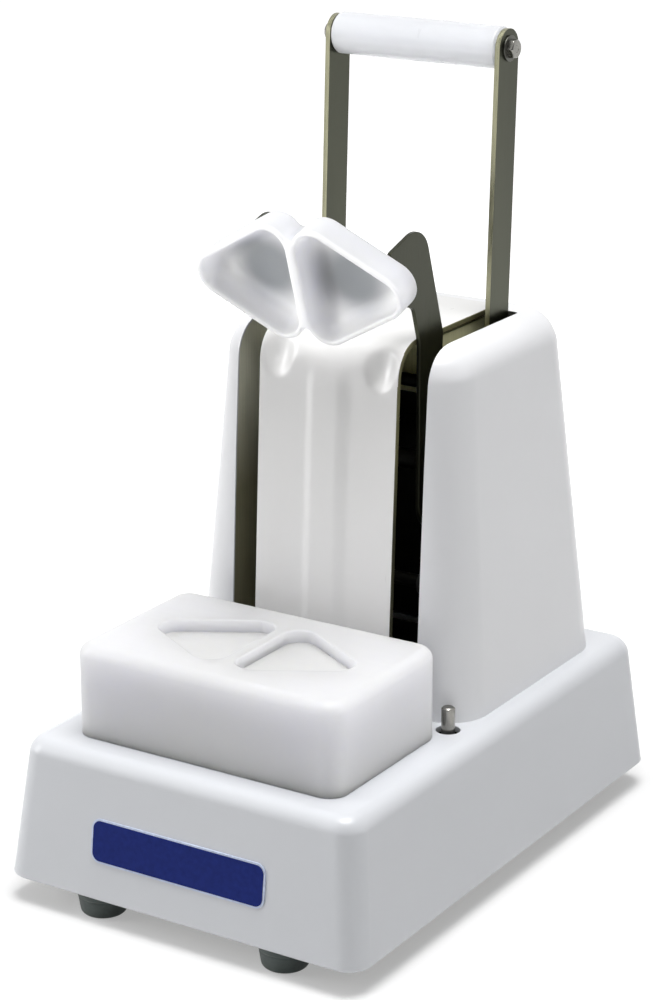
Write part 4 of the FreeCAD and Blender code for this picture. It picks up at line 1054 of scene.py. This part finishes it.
class PRESS_OT_upper_mold(PressOperator):
    """Upper mold: two soft-edged triangular cups joined at the waist."""

    bl_idname = "press.upper_mold"
    bl_label = "Upper mold"

    def execute(self, context):
        outer = CUP_CORNER + MOLD_WALL
        bodies, hollows = [], []
        for side, _ in BOTH:
            bodies.append(loft("cup body", [cup_ring(side, outer, MOUTH_Z),
                                            *cup_roll(side, outer, MOLD_BACK_Z, 3.0, 8)]))
            hollows.append(loft("hollow", [cup_ring(side, CUP_CORNER + 0.2, MOUTH_Z - 4),
                                           cup_ring(side, CUP_CORNER, MOUTH_Z),
                                           *cup_roll(side, CUP_CORNER, MOLD_FLOOR_Z,
                                                     MOLD_FLOOR_ROUND, 12)]))
        waist = CUP_SPACING / 2 + outer - 8.5
        web = bar("web", -7, 7, CUP_Y - waist, CUP_Y + waist, MOUTH_Z, MOLD_BACK_Z)
        piece = new_object(bodies[0], "upper_mold_shell")
        combine(piece, [bodies[1], web], "UNION")
        combine(piece, hollows)
        modified(piece, "REMESH", mode="VOXEL", voxel_size=0.75 * MM)
        modified(piece, "SMOOTH", factor=0.5, iterations=9)
        piece.data.shade_smooth()
        # painted shade in the cups and on the front flanks
        self.paint_cup_shade(piece.data)
        place(piece, swing_open())
        dress(piece, "mold", "lever", "mold_white", "upper_mold")
        light_with("mold card", piece)
        return {"FINISHED"}

    def paint_cup_shade(self, mesh):
        """Mark painted shade: each point's depth in a cup, to 1 at the floor, and a share on the
        front flanks.
        """
        def rows(kind):
            values = np.empty(len(mesh.vertices) * 3)
            mesh.vertices.foreach_get(kind, values)
            return values.reshape(-1, 3).T

        x, y, z = rows("co") / MM
        across, along, _ = rows("normal")
        towards = (CUP_X - np.abs(x)) * np.sign(x) * across + (CUP_Y - y) * along
        reach = np.hypot(np.abs(x) - CUP_X, y - CUP_Y)
        inside = (reach < CUP_CIRCLE + CUP_CORNER + 0.5) & (z < MOLD_FLOOR_Z + 1)
        depth = eased(np.clip((z - MOUTH_Z - 4.0) / (MOLD_FLOOR_Z - MOUTH_Z - 5.0), 0, 1))
        near = eased(np.clip((30.0 - reach) / 20.0, 0, 1))
        flank_shade = 0.42 * np.clip(-1.3 * along, 0, 1) * np.clip((z - MOUTH_Z) / 3.0, 0, 1)
        layer = mesh.attributes.new("hollow", "FLOAT", "POINT")
        layer.data.foreach_set("value", np.where(towards < -8.0, flank_shade,
                                                 np.where(inside, depth * near, 0.0)))


class PRESS_OT_ejectors(PressOperator):
    """Ejector plates that close the bottoms of the lower cups."""

    bl_idname = "press.ejectors"
    bl_label = "Ejector plates"

    def execute(self, context):
        corner = CUP_CORNER - 0.4
        for side, word in BOTH:
            node = "ejector_plate_" + word
            low, high = node_box(node)
            piece = new_object(loft("ejector_" + word, [cup_ring(side, corner, low.z),
                                                        *cup_roll(side, corner, high.z, 1.0, 4)]))
            smooth(piece, 40)
            dress(piece, "mold", "ejector", "mold_white", node)
        return {"FINISHED"}


class PRESS_OT_arms(PressOperator):
    """Brushed strips of the lever, with a painted highlight on the handle strips' cut edges."""

    bl_idname = "press.arms"
    bl_label = "Lever arms"

    def execute(self, context):
        # the mold arms take a darker copy of the steel, as painted shade
        plates = [("%s_%s" % (kind, word), "%s_%s_strip" % (kind, word), finish)
                  for kind, finish in (("mold_arm", "mold_strip_shaded"), ("handle_arm", "strip"))
                  for word in ("left", "right")]
        for node, name, finish in (*plates, ("mold_carrier", "carrier_plate", "carrier")):
            piece = copy_of(node, name)
            soften(piece, context.scene.press_sizes.plate_break / MM, 60, 2)
            dress(piece, finish, "lever", "plate_steel", node)
            # painted highlight on the cut edges
            if finish == "strip":
                repaint(piece, "strip_edge_highlight", lambda face: abs(face.normal.x) < 0.9)
        return {"FINISHED"}


class PRESS_OT_grip(PressOperator):
    """White grip bar with its washers and hexagon bolts."""

    bl_idname = "press.grip"
    bl_label = "Grip"

    def execute(self, context):
        low, high = node_box("grip")
        half, radius = high.x, (high.z - low.z) / 2
        outline = [(0.0, -half), (radius - 2.0, -half, 0.6), (radius - 0.2, -half + 1.6, 1.2),
                   (radius, 0.0, 0.0), (radius - 0.2, half - 1.6, 1.2), (radius - 2.0, half, 0.6),
                   (0.0, half)]
        piece = new_object(lathe("grip_bar", soft_profile(outline), 64))
        smooth(piece, 40)
        centre = Vector((0, (low.y + high.y) / 2, (low.z + high.z) / 2)) * MM
        across = Matrix.Translation(centre) @ Matrix.Rotation(math.radians(90), 4, "Y")
        place(piece, across)
        dress(piece, "grip", "lever", "grip_white", "grip")
        light_with("grip card", piece)
        washer = soft_profile(WASHER_OUTLINE)
        self.pair("grip_washer_pair", (washer + washer[:1], 48), across, 40,
                  "dark fitting", "grip_washers")
        self.pair("grip_bolt_pair", (BOLT_OUTLINE, 72, 10.0), across, 30, "fitting", "grip_bolts")
        return {"FINISHED"}

    def pair(self, name, turned, across, angle, finish, node):
        """The same turned fitting on both ends of the grip."""
        work = bmesh.new()
        for turn in (0, 180):
            mesh = lathe("fitting", *turned)
            mesh.transform(across @ Matrix.Rotation(math.radians(turn), 4, "X"))
            work.from_mesh(mesh)
            bpy.data.meshes.remove(mesh)
        mesh = bpy.data.meshes.new(name)
        work.to_mesh(mesh)
        work.free()
        piece = new_object(mesh)
        smooth(piece, angle)
        dress(piece, finish, "lever", "fitting_steel", node)


class PRESS_OT_screws(PressOperator):
    """Socket screw heads on the tower's back and behind the upper mold."""

    bl_idname = "press.screws"
    bl_label = "Screws"

    def execute(self, context):
        cover = []
        for x, above in COVER_SCREWS:
            y = TOWER_LOW[3] + (TOWER_HIGH[3] - TOWER_LOW[3]) * above / COVER_HEIGHT + 0.4
            cover += [(x, y, deck_z + above), (-x, y, deck_z + above)]
        self.row("cover_screw_heads", cover, (0, 1, 0), 4.6, 2.6, 13.0, "base", "cover_screws")
        opened = swing_open()
        closed = [Vector((side * 30.0, CUP_Y + shift, MOLD_BACK_Z + CARRIER_THICKNESS))
                  for side, _ in BOTH for shift in (-8.0, 8.0)]
        self.row("carrier_screw_heads", [tuple(opened @ (point * MM) / MM) for point in closed],
                 opened.to_3x3() @ Vector((0, 0, 1)), 4.5, 3.0, 4.8, "lever", "mold_screws")
        return {"FINISHED"}

    def row(self, name, places, facing, radius, height, shank, body, node):
        """Screws at points, made by one geometry-node tree and turned into a plain mesh."""
        piece = new_object(mesh_from(name, places, []))
        change = given(piece.modifiers.new("screws", "NODES"), node_group=screw_tree())
        values = {"Facing": Vector(facing).normalized(), "Head Radius": radius * MM,
                  "Head Height": height * MM, "Shank Length": shank * MM, "Seed": 7}
        for item in change.node_group.interface.items_tree:
            if item.item_type == "SOCKET" and item.in_out == "INPUT" and item.name in values:
                change[item.identifier] = values[item.name]
        evaluated(piece)
        smooth(piece)
        dress(piece, "fitting", body, "fitting_steel", node)


def screw_tree():
    """Instances a socket screw on every point, turned to face one way."""
    name = "socket screws"
    if name in bpy.data.node_groups:
        return bpy.data.node_groups[name]
    group = bpy.data.node_groups.new(name, "GeometryNodeTree")
    for label, kind in (("Geometry", "Geometry"), ("Facing", "Vector"), ("Head Radius", "Float"),
                        ("Head Height", "Float"), ("Shank Length", "Float"), ("Seed", "Int")):
        group.interface.new_socket(label, in_out="INPUT", socket_type="NodeSocket" + kind)
    group.interface.new_socket("Geometry", in_out="OUTPUT", socket_type="NodeSocketGeometry")
    tree = Tree(group)
    given_in = tree.add("NodeGroupInput").outputs
    radius, height = given_in["Head Radius"], given_in["Head Height"]
    shank = given_in["Shank Length"]

    def times(value, factor):
        return tree.number("MULTIPLY", value, factor)

    def drum(sides, top_radius, low_radius, depth, lift):
        """Cone or cylinder standing on a height."""
        cone = tree.add("GeometryNodeMeshCone", Vertices=sides, Radius_Top=top_radius,
                        Radius_Bottom=low_radius, Depth=depth)
        offset = tree.add("ShaderNodeCombineXYZ", Z=lift)
        return tree.add("GeometryNodeTransform", Geometry=cone.outputs["Mesh"],
                        Translation=offset.outputs[0]).outputs["Geometry"]

    low_height, shank_radius = times(height, 0.65), times(radius, 0.55)
    hole_radius = times(radius, 0.52)
    union = tree.add("GeometryNodeMeshBoolean", operation="UNION")
    for shape in (drum(40, radius, radius, low_height, 0.0),
                  drum(40, times(radius, 0.82), radius, times(height, 0.35), low_height),
                  drum(24, shank_radius, shank_radius,
                       tree.number("ADD", shank, times(height, 0.1)), times(shank, -1.0))):
        tree.feed(union.inputs["Mesh 2"], shape)
    hole = drum(6, hole_radius, hole_radius, times(height, 1.2), times(height, 0.45))
    screw = tree.add("GeometryNodeMeshBoolean", operation="DIFFERENCE",
                     Mesh_1=union.outputs["Mesh"], Mesh_2=hole)
    points = tree.add("GeometryNodeMeshToPoints", Mesh=given_in["Geometry"])
    aim = tree.add("FunctionNodeAlignRotationToVector", axis="Z", Vector=given_in["Facing"])
    twist = tree.add("FunctionNodeRandomValue", data_type="FLOAT", Seed=given_in["Seed"])
    about = tree.add("ShaderNodeCombineXYZ", Z=next(o for o in twist.outputs if o.enabled))
    spin = tree.add("FunctionNodeEulerToRotation", Euler=about.outputs[0])
    turn = tree.add("FunctionNodeRotateRotation", rotation_space="LOCAL", Rotation=aim.outputs[0],
                    Rotate_By=spin.outputs[0])
    screws = tree.add("GeometryNodeInstanceOnPoints", Points=points.outputs["Points"],
                      Instance=screw.outputs["Mesh"], Rotation=turn.outputs[0])
    real = tree.add("GeometryNodeRealizeInstances", Geometry=screws.outputs["Instances"])
    painted = tree.add("GeometryNodeSetMaterial", Geometry=real.outputs["Geometry"],
                       Material=finishes["fitting"])
    tree.add("NodeGroupOutput", Geometry=painted.outputs["Geometry"])
    return group


class PRESS_OT_release_pin(PressOperator):
    """Bright release pin with a chamfered head, and its coil."""

    bl_idname = "press.release_pin"
    bl_label = "Release pin"

    def execute(self, context):
        low, high = node_box("release_pin")
        radius = (high.x - low.x) / 2
        profile = soft_profile([(0.0, low.z), (radius, low.z, 0.5), (radius, high.z - 1.0, 0.5),
                                (radius - 1.0, high.z, 0.5), (0.0, high.z)])
        piece = new_object(lathe("release_pin_rod", profile))
        smooth(piece, 40)
        place(piece, upright_at("release_pin"))
        dress(piece, "fitting", "release", "fitting_steel", "release_pin")
        low, high = node_box("release_spring")
        coil = copy_of("release_spring", "release_spring_coil")
        dress(coil, "spring", "base", "spring_steel", "release_spring")
        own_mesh(coil)
        return {"FINISHED"}


class PRESS_OT_inner_parts(PressOperator):
    """Finishes of the solids that stay as they are."""

    bl_idname = "press.inner_parts"
    bl_label = "Inner parts"

    by_slot = {"inner_steel": "inner", "fitting_steel": "fitting", "spring_steel": "spring",
               "bush_bronze": "bronze", "washer_nylon": "nylon", "sleeve_rubber": "sleeve",
               "plate_steel": "strip", "foot_rubber": "rubber", "mold_white": "mold",
               "cover_white": "tower", "housing_white": "housing", "grip_white": "grip",
               "badge_rim_pale": "badge rim", "badge_navy": "badge field"}
    # the frame plates carry a painted highlight, the bridge painted light, and the inner parts near
    # black as painted shade
    by_node = {"frame_plate_left": "frame", "frame_plate_right": "frame", "top_bridge": "bridge",
               **dict.fromkeys(("arm_bolts", "arm_spacers", "crank_pins", "pivot_shaft",
                                "retaining_rings", "stop_rods", "spring_pegs", "cover_standoffs",
                                "lift_screws", "yoke_left", "yoke_right", "lift_frame",
                                "rear_web"), "slot_shade_black")}

    def execute(self, context):
        slots = {part["node"]: part["material_slot"] for part in frame["record"]["subparts"]}
        for name, node in frame["nodes"].items():
            node.data.materials.clear()
            node.data.materials.append(finishes[self.by_node.get(name, self.by_slot[slots[name]])])
        return {"FINISHED"}


OPERATORS = (PRESS_OT_stage, PRESS_OT_inner_parts, PRESS_OT_housing, PRESS_OT_feet, PRESS_OT_badge,
             PRESS_OT_mold_block, PRESS_OT_ejectors, PRESS_OT_tower, PRESS_OT_centre_cover,
             PRESS_OT_upper_mold, PRESS_OT_arms, PRESS_OT_grip, PRESS_OT_screws,
             PRESS_OT_release_pin)


class PRESS_PT_panel(bpy.types.Panel):
    """Sidebar panel with one button for each piece."""

    bl_label = "Rice mold press"
    bl_idname = "PRESS_PT_panel"
    bl_space_type = "VIEW_3D"
    bl_region_type = "UI"
    bl_category = "Press"

    def draw(self, context):
        for settings in (context.scene.press_sizes, context.scene.press_colours):
            box = self.layout.box()
            for key in settings.__annotations__:
                box.prop(settings, key)
        for operator in OPERATORS:
            self.layout.operator(operator.bl_idname)


CLASSES = (PressSizes, PressColours, *OPERATORS, PRESS_PT_panel)


def register():
    for item in CLASSES:
        bpy.utils.register_class(item)
    bpy.types.Scene.press_sizes = bpy.props.PointerProperty(type=PressSizes)
    bpy.types.Scene.press_colours = bpy.props.PointerProperty(type=PressColours)


def unregister():
    del bpy.types.Scene.press_colours
    del bpy.types.Scene.press_sizes
    for item in reversed(CLASSES):
        bpy.utils.unregister_class(item)


def main():
    register()
    for operator in OPERATORS:
        family, name = operator.bl_idname.split(".")
        getattr(getattr(bpy.ops, family), name)()


if __name__ == "__main__":
    main()
